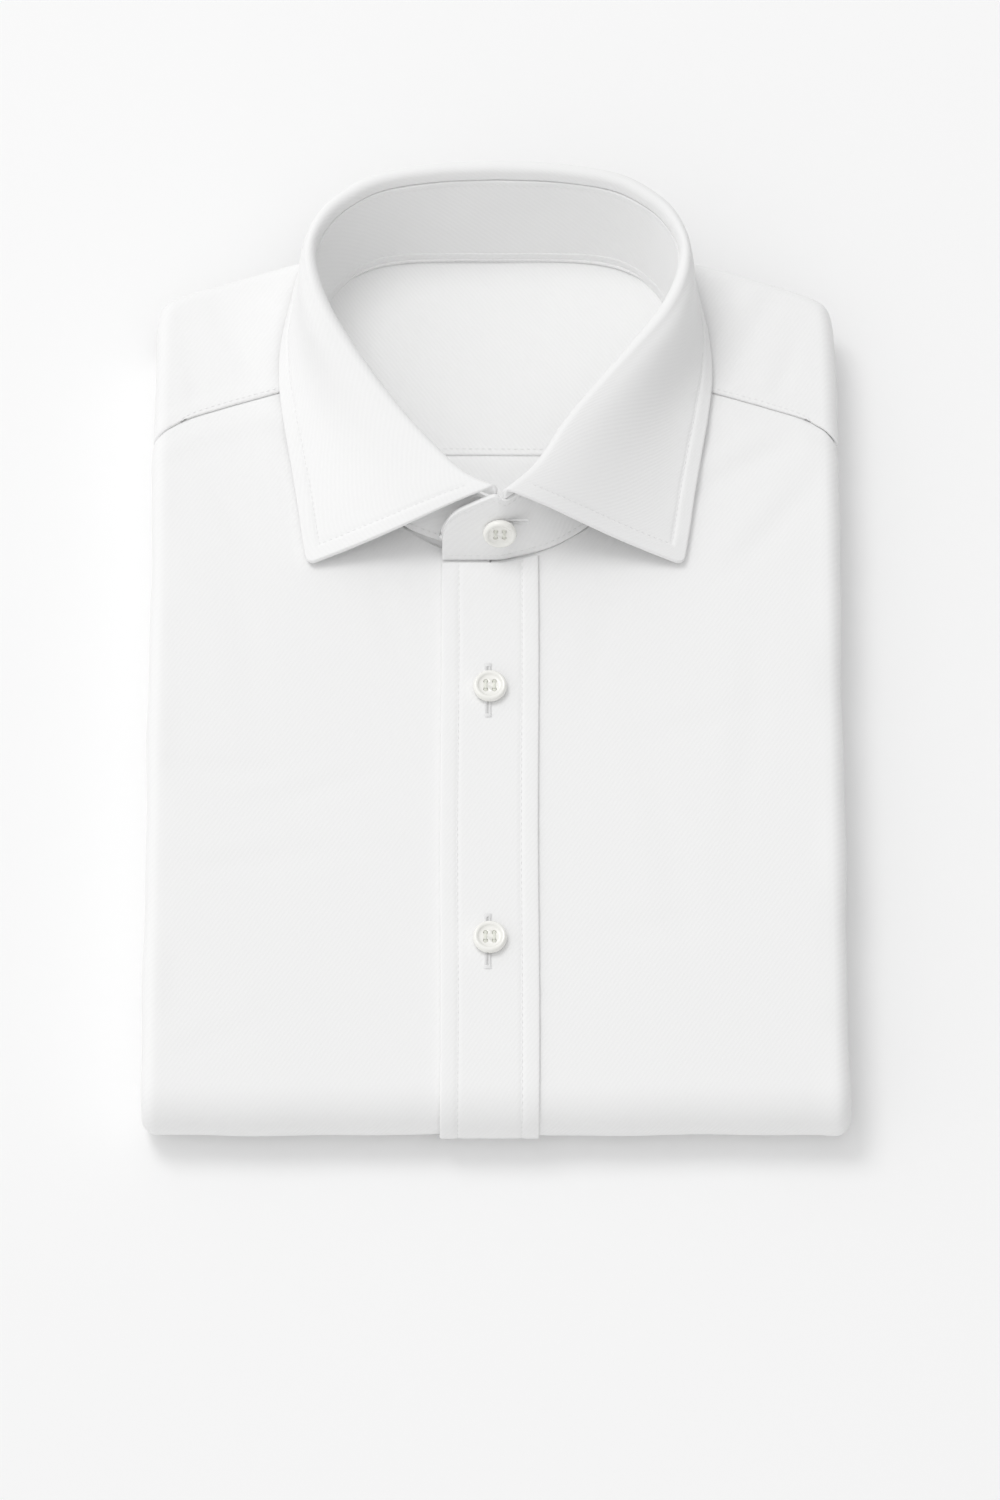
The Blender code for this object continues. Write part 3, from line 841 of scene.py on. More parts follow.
@dataclass(frozen=True)
class Buttonhole:
    """A worked buttonhole: a slit inside a ring of satin stitches.

    Attributes:
        length: Its length over the stitches.
        width: Its width over the stitches.
        stitch: Distance from stitch to stitch.
        opening: Half the width left between the two rows.
        bars: Number of threads in the bar at each end.
    """

    length: float
    width: float = 2.5
    stitch: float = 0.42
    opening: float = 0.12
    bars: int = 4

    def tubes(self, centre: np.ndarray, along: np.ndarray, up: np.ndarray) -> list[Tube]:
        """Lays the satin stitches side by side around the slit.

        Args:
            centre: The slit's middle, on the cloth.
            along: Unit direction of the slit.
            up: Unit direction away from the cloth.

        Returns:
            One tube for each stitch, with the bars at both ends.
        """
        across = np.cross(up, along)
        out = []
        outer, end = self.width / 2, self.length / 2
        for sign in (1, -1):
            for spot in np.arange(-end + 0.9, end - 0.9, self.stitch):
                path = []
                for share in np.linspace(0, 1, 5):
                    reach = self.opening + (outer - self.opening) * share
                    lift = 0.30 * math.sin(math.pi * (0.15 + 0.85 * share)) - 0.05
                    path.append(centre + along * spot + across * sign * reach + up * lift)
                out.append(tube(np.array(path), np.array([0.14, 0.21, 0.23, 0.21, 0.08]), 5))
        for sign in (1, -1):
            for step in range(self.bars):
                spot = sign * (end - 0.2 - 0.3 * step)
                path = [
                    centre + along * spot + across * outer * share + up * (0.28 - 0.3 * share**2)
                    for share in np.linspace(-1, 1, 7)
                ]
                out.append(tube(np.array(path), np.full(7, 0.2), 5))
        return out

    def slit(self, centre: np.ndarray, along: np.ndarray, up: np.ndarray) -> Tube:
        """Lays a dark tube as the painted shadow in the opening between the two rows of stitches.

        Args:
            centre: The slit's middle, on the cloth.
            along: Unit direction of the slit.
            up: Unit direction away from the cloth.

        Returns:
            One flat tube.
        """
        spots = np.linspace(-0.5, 0.5, 12) * (self.length - 2.0)
        path = centre + along * spots[:, None] - up * self.opening
        taper = np.clip(np.sin(np.linspace(0.15, 2.99, 12)) * 3, 0.1, 1)
        return tube(path, 0.14 * taper, 5)


# The folded bundle: both fronts, the placket, the yoke and what lies inside

# Half the shirt's width, its whole thickness, and the two bundles that it is folded into
HALF_WIDTH = 122.5
THICKNESS = 25.0
BUNDLE = 12.5
CLOTH = 1.3
SEAM_GAP = 0.3
# The round side edges: their reach, where the flat part ends, and how far they tuck in below
SIDE_ROUND = 5.0
FLAT_EDGE = HALF_WIDTH - SIDE_ROUND
SIDE_TUCK = 24.0
TAIL_END = 306.0
PLACKET_LEFT = -19.3
PLACKET_RIGHT = 15.3
PLACKET_CLOTH = 1.0
PLACKET_TOP = 213.2
FRONT_SPLIT = -1.8
BUTTON_X = -1.9
BUTTON_ROWS = (163.7, 67.1)
INNER_SEAM_Y = 257.0
INNER_TOP_Z = 23.4
# Where the yoke's seam begins beside the collar
YOKE_BEGINS = (64.0, 68.0)
YOKE_CORNER_Y = 285.2

# Distance from the middle, and how far up a front reaches there
FRONT_TOP: Table = (
    (0.0, 214.6),
    (12.0, 216.8),
    (22.0, 220.8),
    (32.0, 227.2),
    (43.0, 238.3),
    (53.0, 253.4),
    (60.0, 270.4),
    (65.0, 285.2),
    (77.0, 281.4),
    (92.0, 276.8),
    (106.0, 272.2),
    (112.0, 269.8),
    (117.5, 266.4),
    (122.5, 262.9),
)

# Inner line x y, outer edge x y, end of the tuck x y, and how far the seam leans at the side
YOKE: Table = (
    (112.0, 270.3, 122.5, 263.3, 99.0, 263.3, 3.5),
    (108.5, 271.8, 122.4, 272.0, 99.0, 269.0, 1.9),
    (104.0, 273.3, 122.3, 283.0, 99.0, 276.0, 0.9),
    (99.0, 274.9, 122.1, 294.0, 98.8, 283.0, 0.3),
    (94.0, 276.6, 121.9, 304.0, 98.4, 289.5, 0.0),
    (89.0, 278.1, 121.4, 312.0, 97.4, 294.5, 0.0),
    (84.0, 279.7, 119.7, 317.8, 95.5, 298.5, 0.0),
    (79.0, 281.2, 115.6, 321.3, 92.0, 301.2, 0.0),
    (74.0, 282.8, 109.0, 324.0, 87.5, 303.4, 0.0),
    (69.0, 284.4, 101.5, 326.6, 82.5, 305.0, 0.0),
    (64.6, 286.4, 94.0, 329.1, 77.0, 306.0, 0.0),
    (65.3, 294.0, 87.0, 331.4, 71.5, 306.6, 0.0),
    (65.5, 303.0, 80.0, 333.5, 66.0, 307.0, 0.0),
    (64.2, 312.0, 73.0, 335.6, 60.5, 307.2, 0.0),
    (60.0, 320.4, 65.8, 337.6, 54.5, 307.3, 0.0),
    (52.5, 327.8, 57.0, 339.6, 47.0, 307.3, 0.0),
    (42.8, 332.6, 45.5, 341.1, 38.0, 307.3, 0.0),
    (30.8, 334.8, 31.5, 342.0, 27.0, 307.3, 0.0),
    (15.5, 335.4, 15.7, 342.4, 13.5, 307.3, 0.0),
    (0.0, 335.4, 0.0, 342.5, 0.0, 307.3, 0.0),
)

# Base x y, roll x y z, outer edge x y z, bow of the fall, and how far the roll is pushed aside
COLLAR: Table = (
    (2.7, 215.1, 2.6, 227.4, 52.2, 66.8, 211.6, 27.6, 1.0, 0.0),
    (21.0, 220.4, 14.6, 240.3, 50.6, 68.9, 224.5, 27.6, 2.0, -0.4),
    (38.0, 232.6, 26.6, 256.5, 50.4, 71.0, 239.5, 27.7, 3.0, -2.6),
    (51.5, 250.5, 38.4, 272.0, 51.2, 73.4, 254.5, 27.8, 4.0, -2.4),
    (60.0, 270.0, 49.3, 286.5, 53.0, 75.8, 269.5, 27.9, 5.0, -1.3),
    (64.3, 287.0, 58.7, 300.0, 55.3, 77.2, 284.0, 27.9, 5.2, 0.0),
    (65.6, 303.0, 64.4, 313.0, 57.6, 76.4, 299.5, 27.7, 3.6, 0.7),
    (63.8, 314.0, 65.6, 324.5, 59.3, 73.2, 316.0, 27.2, 2.0, 0.9),
    (58.5, 323.6, 61.3, 334.0, 60.4, 69.6, 332.0, 26.0, 1.2, 0.9),
    (50.0, 331.5, 54.2, 341.2, 61.2, 63.0, 344.5, 23.6, 1.0, 0.9),
    (38.0, 336.0, 41.5, 348.2, 61.8, 47.0, 354.8, 21.0, 1.0, 0.9),
    (20.0, 337.1, 21.5, 351.8, 62.2, 25.0, 359.2, 19.2, 1.0, 0.9),
    (0.0, 337.1, 0.0, 352.8, 62.4, 0.0, 360.4, 18.8, 1.0, 0.9),
)

# The tab's x, and how high it stands there as a share of the band
TAB_RISE = ((-9.0, -6.0, -3.0, -0.5, 1.3, 2.4), (1.0, 1.035, 1.085, 1.14, 1.15, 1.0))

INNER_TOP: Table = (
    (0.0, 337.6),
    (15.0, 337.6),
    (30.0, 337.2),
    (42.0, 335.6),
    (51.5, 331.0),
    (58.6, 324.2),
    (70.0, 323.0),
    (84.0, 318.0),
    (98.0, 312.0),
)


def swept(x: float, height: float, stage: Stage, amount: float) -> tuple[float, float, float]:
    """Places a point of the folded bundle.

    Args:
        x: Distance from the middle of the shirt.
        height: Distance out from the bundle's middle plane.
        stage: On top, in the bottom fold or underneath.
        amount: y on top and underneath, or the angle round the fold, from 0 to pi.

    Returns:
        The point, in table millimetres.
    """
    middle = THICKNESS / 2
    if stage is Stage.TOP:
        return x, amount, middle + height
    if stage is Stage.FOLD:
        return x, BUNDLE - height * math.sin(amount), middle + height * math.cos(amount)
    return x, amount, middle - height


def turned_under(stage: Stage, amount: float) -> float:
    """How far round the bottom fold a place is.

    Args:
        stage: On top, in the bottom fold or underneath.
        amount: y, or the angle round the fold.

    Returns:
        0 on top, 1 underneath, and a share of the way between them.
    """
    if stage is Stage.FOLD:
        return float(smooth_step(amount, math.pi / 2, math.pi))
    return 1.0 if stage is Stage.UNDER else 0.0


def unrolled(stage: Stage, amount: float) -> float:
    """Measures down the flat cloth, from y = 0 at the fold's outside.

    Args:
        stage: On top, in the bottom fold or underneath.
        amount: y, or the angle round the fold.

    Returns:
        The place along the flat cloth.
    """
    if stage is Stage.TOP:
        return amount
    if stage is Stage.FOLD:
        return BUNDLE - BUNDLE * amount
    return BUNDLE - BUNDLE * math.pi - (amount - BUNDLE)


def seam_height(x: np.ndarray | float) -> np.ndarray | float:
    """How far up the shirt the fronts reach at this distance from the middle."""
    return np.interp(np.abs(x), [row[0] for row in FRONT_TOP], [row[1] for row in FRONT_TOP])


# The creases, each as x, y, angle, length, width and depth
FRONT_CREASES = (
    Crease(90, 148, 84, 90, 5.5, 0.2),
    Crease(62, 98, 99, 74, 6.0, 0.17),
    Crease(36, 178, 76, 56, 4.5, 0.14),
    Crease(99, 228, 48, 48, 4.6, 0.55),
    Crease(88, 252, 30, 60, 4.0, 0.8),
    Crease(70, 150, 14, 44, 4.2, 0.24),
    Crease(52, 72, 7, 50, 5.0, 0.28),
    Crease(98, 34, -16, 48, 5.0, 0.22),
    Crease(-93, 133, -7, 48, 4.2, 0.55),
    Crease(-63, 125, 12, 38, 3.8, 0.45),
    Crease(-86, 97, 5, 46, 4.0, 0.45),
    Crease(-50, 101, -12, 34, 3.6, 0.32),
    Crease(-88, 184, 99, 76, 5.8, 0.17),
    Crease(-39, 196, 104, 48, 3.8, 0.14),
    Crease(-95, 236, 116, 50, 4.4, 0.26),
    Crease(-70, 262, -24, 40, 3.4, 0.28),
    Crease(-52, 38, -9, 62, 5.6, 0.2),
    Crease(-100, 28, 20, 40, 4.6, 0.2),
)
UNDER_CREASES = (
    Crease(70, 210, 80, 90, 6.0, 0.3),
    Crease(-64, 160, 101, 110, 6.5, 0.32),
    Crease(96, 120, 95, 70, 5.0, 0.3),
    Crease(-98, 250, 84, 60, 4.6, 0.28),
    Crease(44, 88, 15, 60, 5.0, 0.3),
    Crease(-46, 60, -14, 66, 5.2, 0.3),
)
YOKE_CREASES = (
    Crease(92, 306, 62, 44, 4.2, 0.34),
    Crease(104, 290, 74, 34, 3.4, 0.28),
    Crease(82, 322, 20, 30, 3.2, 0.26),
    Crease(-94, 304, 112, 48, 4.4, 0.36),
    Crease(-108, 286, 96, 32, 3.2, 0.26),
    Crease(-78, 320, 164, 34, 3.6, 0.28),
)

# Height, half width, upper end and thickness of each hidden layer
PLIES: Table = (
    (1.75, 119.6, 305.6, 2.2),
    (4.05, 120.9, 304.4, 2.3),
    (6.35, 121.2, 305.2, 2.2),
    (8.6, 120.6, 304.6, 2.2),
    (12.5, 91.5, 291.0, 2.6),
    (16.4, 120.2, 304.0, 2.2),
    (18.6, 121.1, 305.2, 2.1),
    (20.6, 120.0, 303.2, 1.8),
)

# Below its top edge: where a front's lines lie beside the neck, and where they lie at the yoke
NECK_DROPS = (0.0, 1.0, 2.0, 3.0, 4.0, 5.0, 6.2, 7.6, 9.0)
YOKE_DROPS = (-2.6, -1.6, -0.6, 0.3, 1.2, 2.2, 3.6, 5.4, 7.6)


@dataclass
class Bundle:
    """The folded body of the shirt: fronts, placket, yoke, inner back and hidden layers.

    Attributes:
        cloth: Finish of the fronts and the placket.
        yoke_cloth: Finish of the yoke and the inside of the back.
        layer_cloth: Finish of the hidden layers' edges, the cloth painted darker as shade.
        thread: Finish of the sewing.
        slit: Finish of the painted shadow in the buttonholes' openings.
        seam_dip: How far the fronts sink under the yoke's edge.
        seam_puff: How far they puff beside that seam.
        wear: Share of their stated depth that the fronts' creases have.
        stitch_inset: Distance of the placket's sewing from its edges.
        stitch_dent: How far that sewing pulls the placket in.
        proud: How far the yoke's edge stands over the fronts.
        hem_dent: How far the sewing pulls the inner yoke in.
        inner_dip: How far the back sinks under the inner yoke.
        chance: Source of the sewing's small unevenness.
    """

    cloth: bpy.types.Material
    yoke_cloth: bpy.types.Material
    layer_cloth: bpy.types.Material
    thread: bpy.types.Material
    slit: bpy.types.Material
    seam_dip: float = 1.05
    seam_puff: float = 0.45
    wear: float = 0.8
    stitch_inset: float = 6.2
    stitch_dent: float = 0.22
    proud: float = 0.4
    hem_dent: float = 0.16
    inner_dip: float = 0.95
    chance: np.random.Generator = field(default_factory=lambda: np.random.default_rng(7))

    @staticmethod
    def _column(x: float) -> list[tuple[Stage, float]]:
        """Lists the places down one column of a front, from its top edge to the tail.

        Args:
            x: The column's distance from the middle of the shirt.

        Returns:
            The stage of each place, and its y or its angle round the fold.
        """
        reach = float(seam_height(x))
        sewn = float(smooth_step(x, *YOKE_BEGINS))
        drops = [(1 - sewn) * low + sewn * high for low, high in zip(NECK_DROPS, YOKE_DROPS)]
        places = [reach - drop for drop in drops]
        start = reach - 10.5
        places += [start + (150 - start) * step / 44 for step in range(44)]
        places += spaced(150, 60, 2.6) + spaced(60, BUNDLE, 2.0)
        runs = [(Stage.TOP, y) for y in places]
        runs += [(Stage.FOLD, math.pi * step / 22) for step in range(22)]
        return runs + [(Stage.UNDER, y) for y in spaced(BUNDLE, TAIL_END, 6.0) + [TAIL_END]]

    def front(self, side: Side) -> Sheet:
        """Shapes one front, from its neckline and yoke seam, round the bottom fold, to the tail.

        Args:
            side: Which front.

        Returns:
            The front's cloth.
        """
        sign = side.value
        across = [("flat", x) for x in spaced(FRONT_SPLIT * sign + SEAM_GAP / 2, 40, 2.6)]
        across += [("flat", x) for x in spaced(40, FLAT_EDGE, 2.1)]
        across += [("round", math.pi * step / 12) for step in range(13)]
        across += [("tuck", amount) for amount in (4.0, 12.0, 20.0, SIDE_TUCK)]
        columns, pattern = [], []
        for kind, value in across:
            reach = FLAT_EDGE + SIDE_ROUND * math.sin(min(value, math.pi / 2))
            x = {"flat": value, "round": reach, "tuck": HALF_WIDTH}[kind]
            wide = {"flat": value, "round": FLAT_EDGE + 2.6 * value, "tuck": FLAT_EDGE + 8.2 + value}[kind]
            column, flat = [], []
            for stage, amount in self._column(abs(x)):
                across_x, height = self._profile(kind, value, stage, amount, sign)
                column.append(swept(across_x, height, stage, amount))
                flat.append((-sign * wide, unrolled(stage, amount)))
            columns.append(column)
            pattern.append(flat)
        outer = np.array(columns).transpose(1, 0, 2)
        turned = bool(grid_normals(outer)[60, 20, 2] < 0)
        outer = self._worn(outer, turned)
        return Sheet(outer, CLOTH, np.array(pattern).transpose(1, 0, 2), turned)

    @staticmethod
    def _profile(
        kind: str, value: float, stage: Stage, amount: float, sign: int
    ) -> tuple[float, float]:
        """Places a column of a front in the section across the shirt.

        Args:
            kind: flat, round or tuck: on top, round the side edge or below it.
            value: Distance from the middle, angle round the edge, or distance tucked in.
            stage: On top, in the bottom fold or underneath.
            amount: y, or the angle round the fold.
            sign: The front's side.

        Returns:
            The column's x, and its distance out from the middle plane.
        """
        nearness = 1.0
        if stage is not Stage.FOLD:
            nearness = float(np.clip(1 - (amount - BUNDLE) / 30.0, 0, 1))
        low = 0.3 + 0.9 * nearness
        if kind == "flat":
            x = sign * value
            beside = np.clip((x - PLACKET_LEFT + 3.2) / 2.6, 0, 1)
            beside *= np.clip((PLACKET_RIGHT + 3.2 - x) / 2.6, 0, 1)
            let_in = (PLACKET_CLOTH + SEAM_GAP) * beside * turned_under(stage, amount)
            return x, BUNDLE - let_in
        if kind == "round":
            half = (BUNDLE - low) / 2
            reach = FLAT_EDGE + SIDE_ROUND * math.sin(value)
            return sign * reach, low + half + half * math.cos(value)
        return sign * (FLAT_EDGE - value), low

    def _worn(self, grid: np.ndarray, turned: bool) -> np.ndarray:
        """Lets a front dip under the yoke, puff at its sides and take its creases.

        Args:
            grid: The front's points.
            turned: Whether the grid's own normals point into the cloth.

        Returns:
            The points, moved.
        """
        outward = grid_normals(grid) * (-1.0 if turned else 1.0)
        x, y, z = grid[..., 0], grid[..., 1], grid[..., 2]
        upper = z > THICKNESS / 2
        seam = seam_height(x)
        sewn = smooth_step(np.abs(x), *YOKE_BEGINS) * upper
        dip = -self.seam_dip * smooth_step(y - seam, -0.8, 0.8) * sewn
        swell = self.seam_puff * bell(y - seam, -8.0, 4.5) * sewn
        top = upper & (y > BUNDLE) & (np.abs(x) < FLAT_EDGE)
        quiet = smooth_step(seam - y, 3, 16) * smooth_step(np.abs(x + 2.0), 20, 27)
        lift = self.wear * worn_by(FRONT_CREASES, x, y) * quiet * top
        below = ~upper & (y > BUNDLE)
        under = np.minimum(worn_by(UNDER_CREASES, x, y), 0.0)
        under = under * smooth_step(np.abs(x + 2.0), 22, 30) * below
        rim = smooth_step(np.abs(x), 110, 121) * (np.abs(z - THICKNESS / 2) > 1.5)
        wander = 0.45 * np.sin(y / 17.0 + 1.3 * np.sign(x)) + 0.3 * np.sin(y / 7.3 + 0.4)
        fold = bell(y, 0.0, 9.0) * (0.22 * np.sin(x / 17.0) + 0.16 * np.sin(x / 6.9 + 1))
        clear = smooth_step(z, 0.5, 4.0)
        move = dip + swell + lift + under + (rim * wander * 0.6 + fold) * clear
        return grid + move[..., None] * outward

    def placket(self) -> Sheet:
        """Shapes the strip down the closure, proud on top and let in flush underneath.

        Returns:
            The placket's cloth.
        """
        insets = (0, 0.7, 1.3, 2.0, 3.0, 4.4, 5.2, 5.7, 6.2, 6.6, 7.0)
        columns = [PLACKET_LEFT + inset for inset in insets]
        columns += spaced(PLACKET_LEFT + 8.0, PLACKET_RIGHT - 8.6, 2.0) + [PLACKET_RIGHT - 8.0]
        columns += [PLACKET_RIGHT - inset for inset in insets[::-1]]
        last = TAIL_END - 1
        runs = [(Stage.TOP, y) for y in spaced(PLACKET_TOP, BUNDLE, 1.8)]
        runs += [(Stage.FOLD, math.pi * step / 24) for step in range(24)]
        runs += [(Stage.UNDER, y) for y in spaced(BUNDLE, last, 6.0) + [last]]
        foot_x, foot_y = interpolate(COLLAR, spaced(0.0, 1.2, 0.1))[:, :2].T
        grid, pattern = [], []
        for stage, amount in runs:
            under = turned_under(stage, amount)
            base = BUNDLE + SEAM_GAP - (PLACKET_CLOTH + SEAM_GAP) * under + PLACKET_CLOTH
            near_top = float(smooth_step(amount, 185.0, PLACKET_TOP)) if stage is Stage.TOP else 0.0
            side = 0.18 * math.sin(unrolled(stage, amount) / 23.0) * (1 - under)
            line = []
            for x in columns:
                edge = min(x - PLACKET_LEFT, PLACKET_RIGHT - x)
                sewn = float(bell(edge, self.stitch_inset, 0.55))
                ripple = 0.10 * math.sin(amount / 1.9 + x / 3.1) * math.sin(amount / 11.0 + 0.6)
                band = 0.12 * float(smooth_step(edge, 6.5, 4.0)) + ripple * math.exp(-edge / 6.0)
                height = base + (band - 0.25 * math.exp(-edge) - self.stitch_dent * sewn) * (1 - under)
                up = (float(np.interp(x, foot_x, foot_y)) - foot_y[0]) * near_top
                line.append(swept(x + side, height, stage, amount + up))
            grid.append(line)
            pattern.append([(4000 - x, unrolled(stage, amount)) for x in columns])
        outer = np.array(grid)
        turned = bool(grid_normals(outer)[20, 8, 2] < 0)
        return Sheet(outer, PLACKET_CLOTH, np.array(pattern), turned)

    def yoke(self) -> Sheet:
        """Shapes the yoke over both shoulders: flat on top, round the edge and tucked in below.

        Returns:
            The yoke's cloth.
        """
        half = interpolate(YOKE, spaced(0, 10, 0.22) + spaced(10, 19, 0.3) + [19.0])
        rows = np.vstack([half, half[-2::-1] * (-1, 1, -1, 1, -1, 1, 1)])
        inner, rim, tuck = rows[:, 0:2], rows[:, 2:4], rows[:, 4:6]
        lean = np.column_stack([np.zeros(len(rows)), rows[:, 6]])
        tangent = np.gradient(rim, axis=0)
        tangent[0], tangent[-1] = (0.0, 1.0), (0.0, -1.0)
        outward = np.column_stack([tangent[:, 1], -tangent[:, 0]])
        outward /= np.linalg.norm(outward, axis=1, keepdims=True)
        start = rim - SIDE_ROUND * outward + lean
        low = THICKNESS / 2 + 0.3
        half_height = (THICKNESS - low) / 2
        shares = (0, 0.03, 0.06, 0.1, 0.15, 0.21, 0.28, 0.36, 0.45, 0.54, 0.63, 0.72, 0.8, 0.88, 0.95)
        columns = [(inner + (start - inner) * share, THICKNESS) for share in shares]
        for step in range(13):
            angle = math.pi * step / 12
            reach = math.sin(angle)
            drift = lean * (reach if angle < math.pi / 2 else 1.0)
            spot = start + SIDE_ROUND * reach * outward - drift
            columns.append((spot, low + half_height * (1 + math.cos(angle))))
        for share in (0.2, 0.5, 0.8, 1.0):
            columns.append((start - lean + (tuck - start + lean) * share, low))
        layers = [np.column_stack([spot, np.full(len(rows), z)]) for spot, z in columns]
        outer = np.stack(layers, axis=1)
        turned = bool(grid_normals(outer)[20, 5, 2] < 0)
        away = grid_normals(outer) * (-1.0 if turned else 1.0)
        x, y, z = outer[..., 0], outer[..., 1], outer[..., 2]
        seam = np.where(np.abs(x) < 65, YOKE_CORNER_Y, seam_height(x))
        top = smooth_step(z, THICKNESS - 0.6, THICKNESS)
        hem = (1 - smooth_step(y - seam, 3.0, 9.0)) * smooth_step(np.abs(x), 60, 68)
        worn = worn_by(YOKE_CREASES, x, y) * top * smooth_step(y - seam, 3, 9)
        rim_share = 1 - np.abs(z - low - half_height) / half_height
        waves = 0.35 * np.sin(np.arange(len(rows)) / 6.1)[:, None] * rim_share
        move = self.proud * hem * smooth_step(z, low + 2, THICKNESS - 1) + worn + waves
        pattern = outer[..., :2] * (-1.0, 1.0) + (9000.0, 0.0)
        drop = (THICKNESS - z)[..., None] * np.sign(away[..., :2]) * 0.6
        outer = outer + move[..., None] * away
        return Sheet(outer, CLOTH, pattern + drop, turned, rim=0.3)

    def inner_back(self, low: float, high: float | None, lift: float) -> Sheet:
        """Shapes a piece of the inside of the back, between two seams or up to the neckline.

        Args:
            low: Its lower edge.
            high: Its upper edge, or None for the neckline itself.
            lift: How far its lower edge stands over the piece below.

        Returns:
            The sheet.
        """
        xs = np.array(spaced(-97.0, 97.0, 2.5) + [97.0])
        known = np.array(INNER_TOP)
        tops = np.interp(np.abs(xs), known[:, 0], known[:, 1]) if high is None else xs * 0 + high
        shares = np.array([0, 0.015, 0.03, 0.05, 0.08] + spaced(0.11, 0.97, 0.035) + [0.97, 0.985, 1])
        y = low + (tops - low)[None, :] * shares[:, None]
        x = np.broadcast_to(xs, y.shape)
        swell = 0.35 * np.sin(x / 16.0 + y / 23.0) * np.sin(y / 14.0 + x / 41.0)
        hem = lift * (1 - smooth_step(y - low, 1.5, 6.0))
        groove = -self.hem_dent * bell(y - low, 2.6, 0.8) * (lift > 0)
        dip = 0.0 if high is None else -self.inner_dip * smooth_step(y, high - 3.9, high - 1.2)
        z = INNER_TOP_Z + hem + groove + dip + np.minimum(swell, 0.2)
        outer = np.stack([x, y, z], axis=2)
        return Sheet(outer, CLOTH, None, bool(grid_normals(outer)[5, 5, 2] < 0))

    @staticmethod
    def layers() -> list[Sheet]:
        """Shapes the hidden sleeves, sides, back and tail, as plies with uneven rounded ends.

        Returns:
            The plies, from the lowest up.
        """
        out = []
        for number, (z, wide, reach, deep) in enumerate(PLIES):
            xs = np.array(spaced(-wide, wide, 3.2) + [wide])
            low = BUNDLE - math.sqrt(max(10.6**2 - (z - THICKNESS / 2) ** 2, 4.0)) + 2.0
            shares = np.array(spaced(0, 0.9, 0.05) + spaced(0.9, 1.0, 0.012) + [1.0])
            wander = 1.1 * np.sin(xs / 19.0 + 1.7 * number) + 0.6 * np.sin(xs / 7.7 + number)
            y = low + (reach - 1.4 + wander - low)[None, :] * shares[:, None]
            x = np.broadcast_to(xs, y.shape)
            sag = 0.12 * np.sin(xs / 11.0 + number)[None, :] * smooth_step(y, 280, 304)
            height = np.broadcast_to(z + deep / 2 + sag, y.shape)
            outer = np.stack([x, y, height], axis=2)
            out.append(Sheet(outer, deep * 0.94, None, bool(grid_normals(outer)[5, 5, 2] < 0)))
        return out

    def build(self) -> None:
        """Builds every piece of the bundle and joins each to the shirt's body."""
        for node_name, side in (("front_left", Side.LEFT_FRONT), ("front_right", Side.RIGHT_FRONT)):
            sheet = self.front(side)
            piece = dress(add_cloth(f"{node_name}_cloth", [sheet], self.cloth), node_name)
            sheet.flat_area()
        self._build_placket()
        self._build_yoke()
        self._build_inside()

    def _build_placket(self) -> None:
        """Builds the placket with its sewing and its two upright buttonholes."""
        strip = self.placket()
        piece = dress(add_cloth("placket_cloth", [strip], self.cloth), "placket")
        rows = []
        for edge in ("first_column", "last_column"):
            rows += StitchRow().tubes(strip.line(edge, self.stitch_inset), self.chance)
        thread = dress(add_tubes("placket_topstitch", rows, self.thread), None)
        hole, holes, slits = Buttonhole(21.0), [], []
        along, up = np.array([0.0, 1.0, 0.0]), np.array([0.0, 0.0, 1.0])
        for y in BUTTON_ROWS:
            centre = np.array([BUTTON_X - 0.7, y - 0.9, THICKNESS + SEAM_GAP + PLACKET_CLOTH])
            holes += hole.tubes(centre, along, up)
            slits.append(hole.slit(centre, along, up))
        worked = dress(add_tubes("placket_buttonholes", holes, self.thread), None)
        # Dark tubes in the slits are painted shadow inside the buttonholes' openings.
        opening = dress(add_tubes("placket_slit_shadows", slits, self.slit), None)
        strip.flat_area()

    def _build_yoke(self) -> None:
        """Builds the outer yoke, topstitched on both sides of the collar."""
        yoke = self.yoke()
        piece = dress(add_cloth("yoke_cloth", [yoke], self.yoke_cloth), "yoke")
        seam = yoke.line("first_column", 1.7)
        half = len(seam.points) // 2
        rows = []
        for part in (seam.where(slice(half)), seam.where(slice(half, None))):
            shown = part.where(np.abs(part.points[:, 0]) > 66.5)
            rows += FINE_STITCHES.tubes(shown, self.chance)
        thread = dress(add_tubes("yoke_topstitch", rows, self.thread), None)
        yoke.flat_area()

    def _build_inside(self) -> None:
        """Builds the inner yoke, the back below it and the hidden layers."""
        upper = self.inner_back(INNER_SEAM_Y, None, 0.3)
        piece = add_cloth("yoke_inner_cloth", [upper], self.yoke_cloth)
        dress(piece, "yoke_inner")
        line = upper.line("first_row", 2.6)
        rows = FINE_STITCHES.tubes(line.where(np.abs(line.points[:, 0]) < 75), self.chance)
        thread = dress(add_tubes("yoke_inner_topstitch", rows, self.thread), None)
        upper.flat_area()
        lower = self.inner_back(212.0, INNER_SEAM_Y + 2.5, 0.0)
        piece = dress(add_cloth("back_cloth", [lower], self.yoke_cloth), "back")
        lower.flat_area()
        plies = self.layers()
        piece = add_cloth("folded_layers_plies", plies, self.layer_cloth)
        dress(piece, "folded_layers")
        area = sum(ply.flat_area() for ply in plies)


def dress(piece: bpy.types.Object, replaced: str | None) -> bpy.types.Object:
    """Joins a piece to the shirt's one body.

    Args:
        piece: The piece.
        replaced: The node that it takes the place of, if any.

    Returns:
        The same piece.
    """
    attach(piece, "root")
    if replaced:
        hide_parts(replaced)
    return piece


# The collar

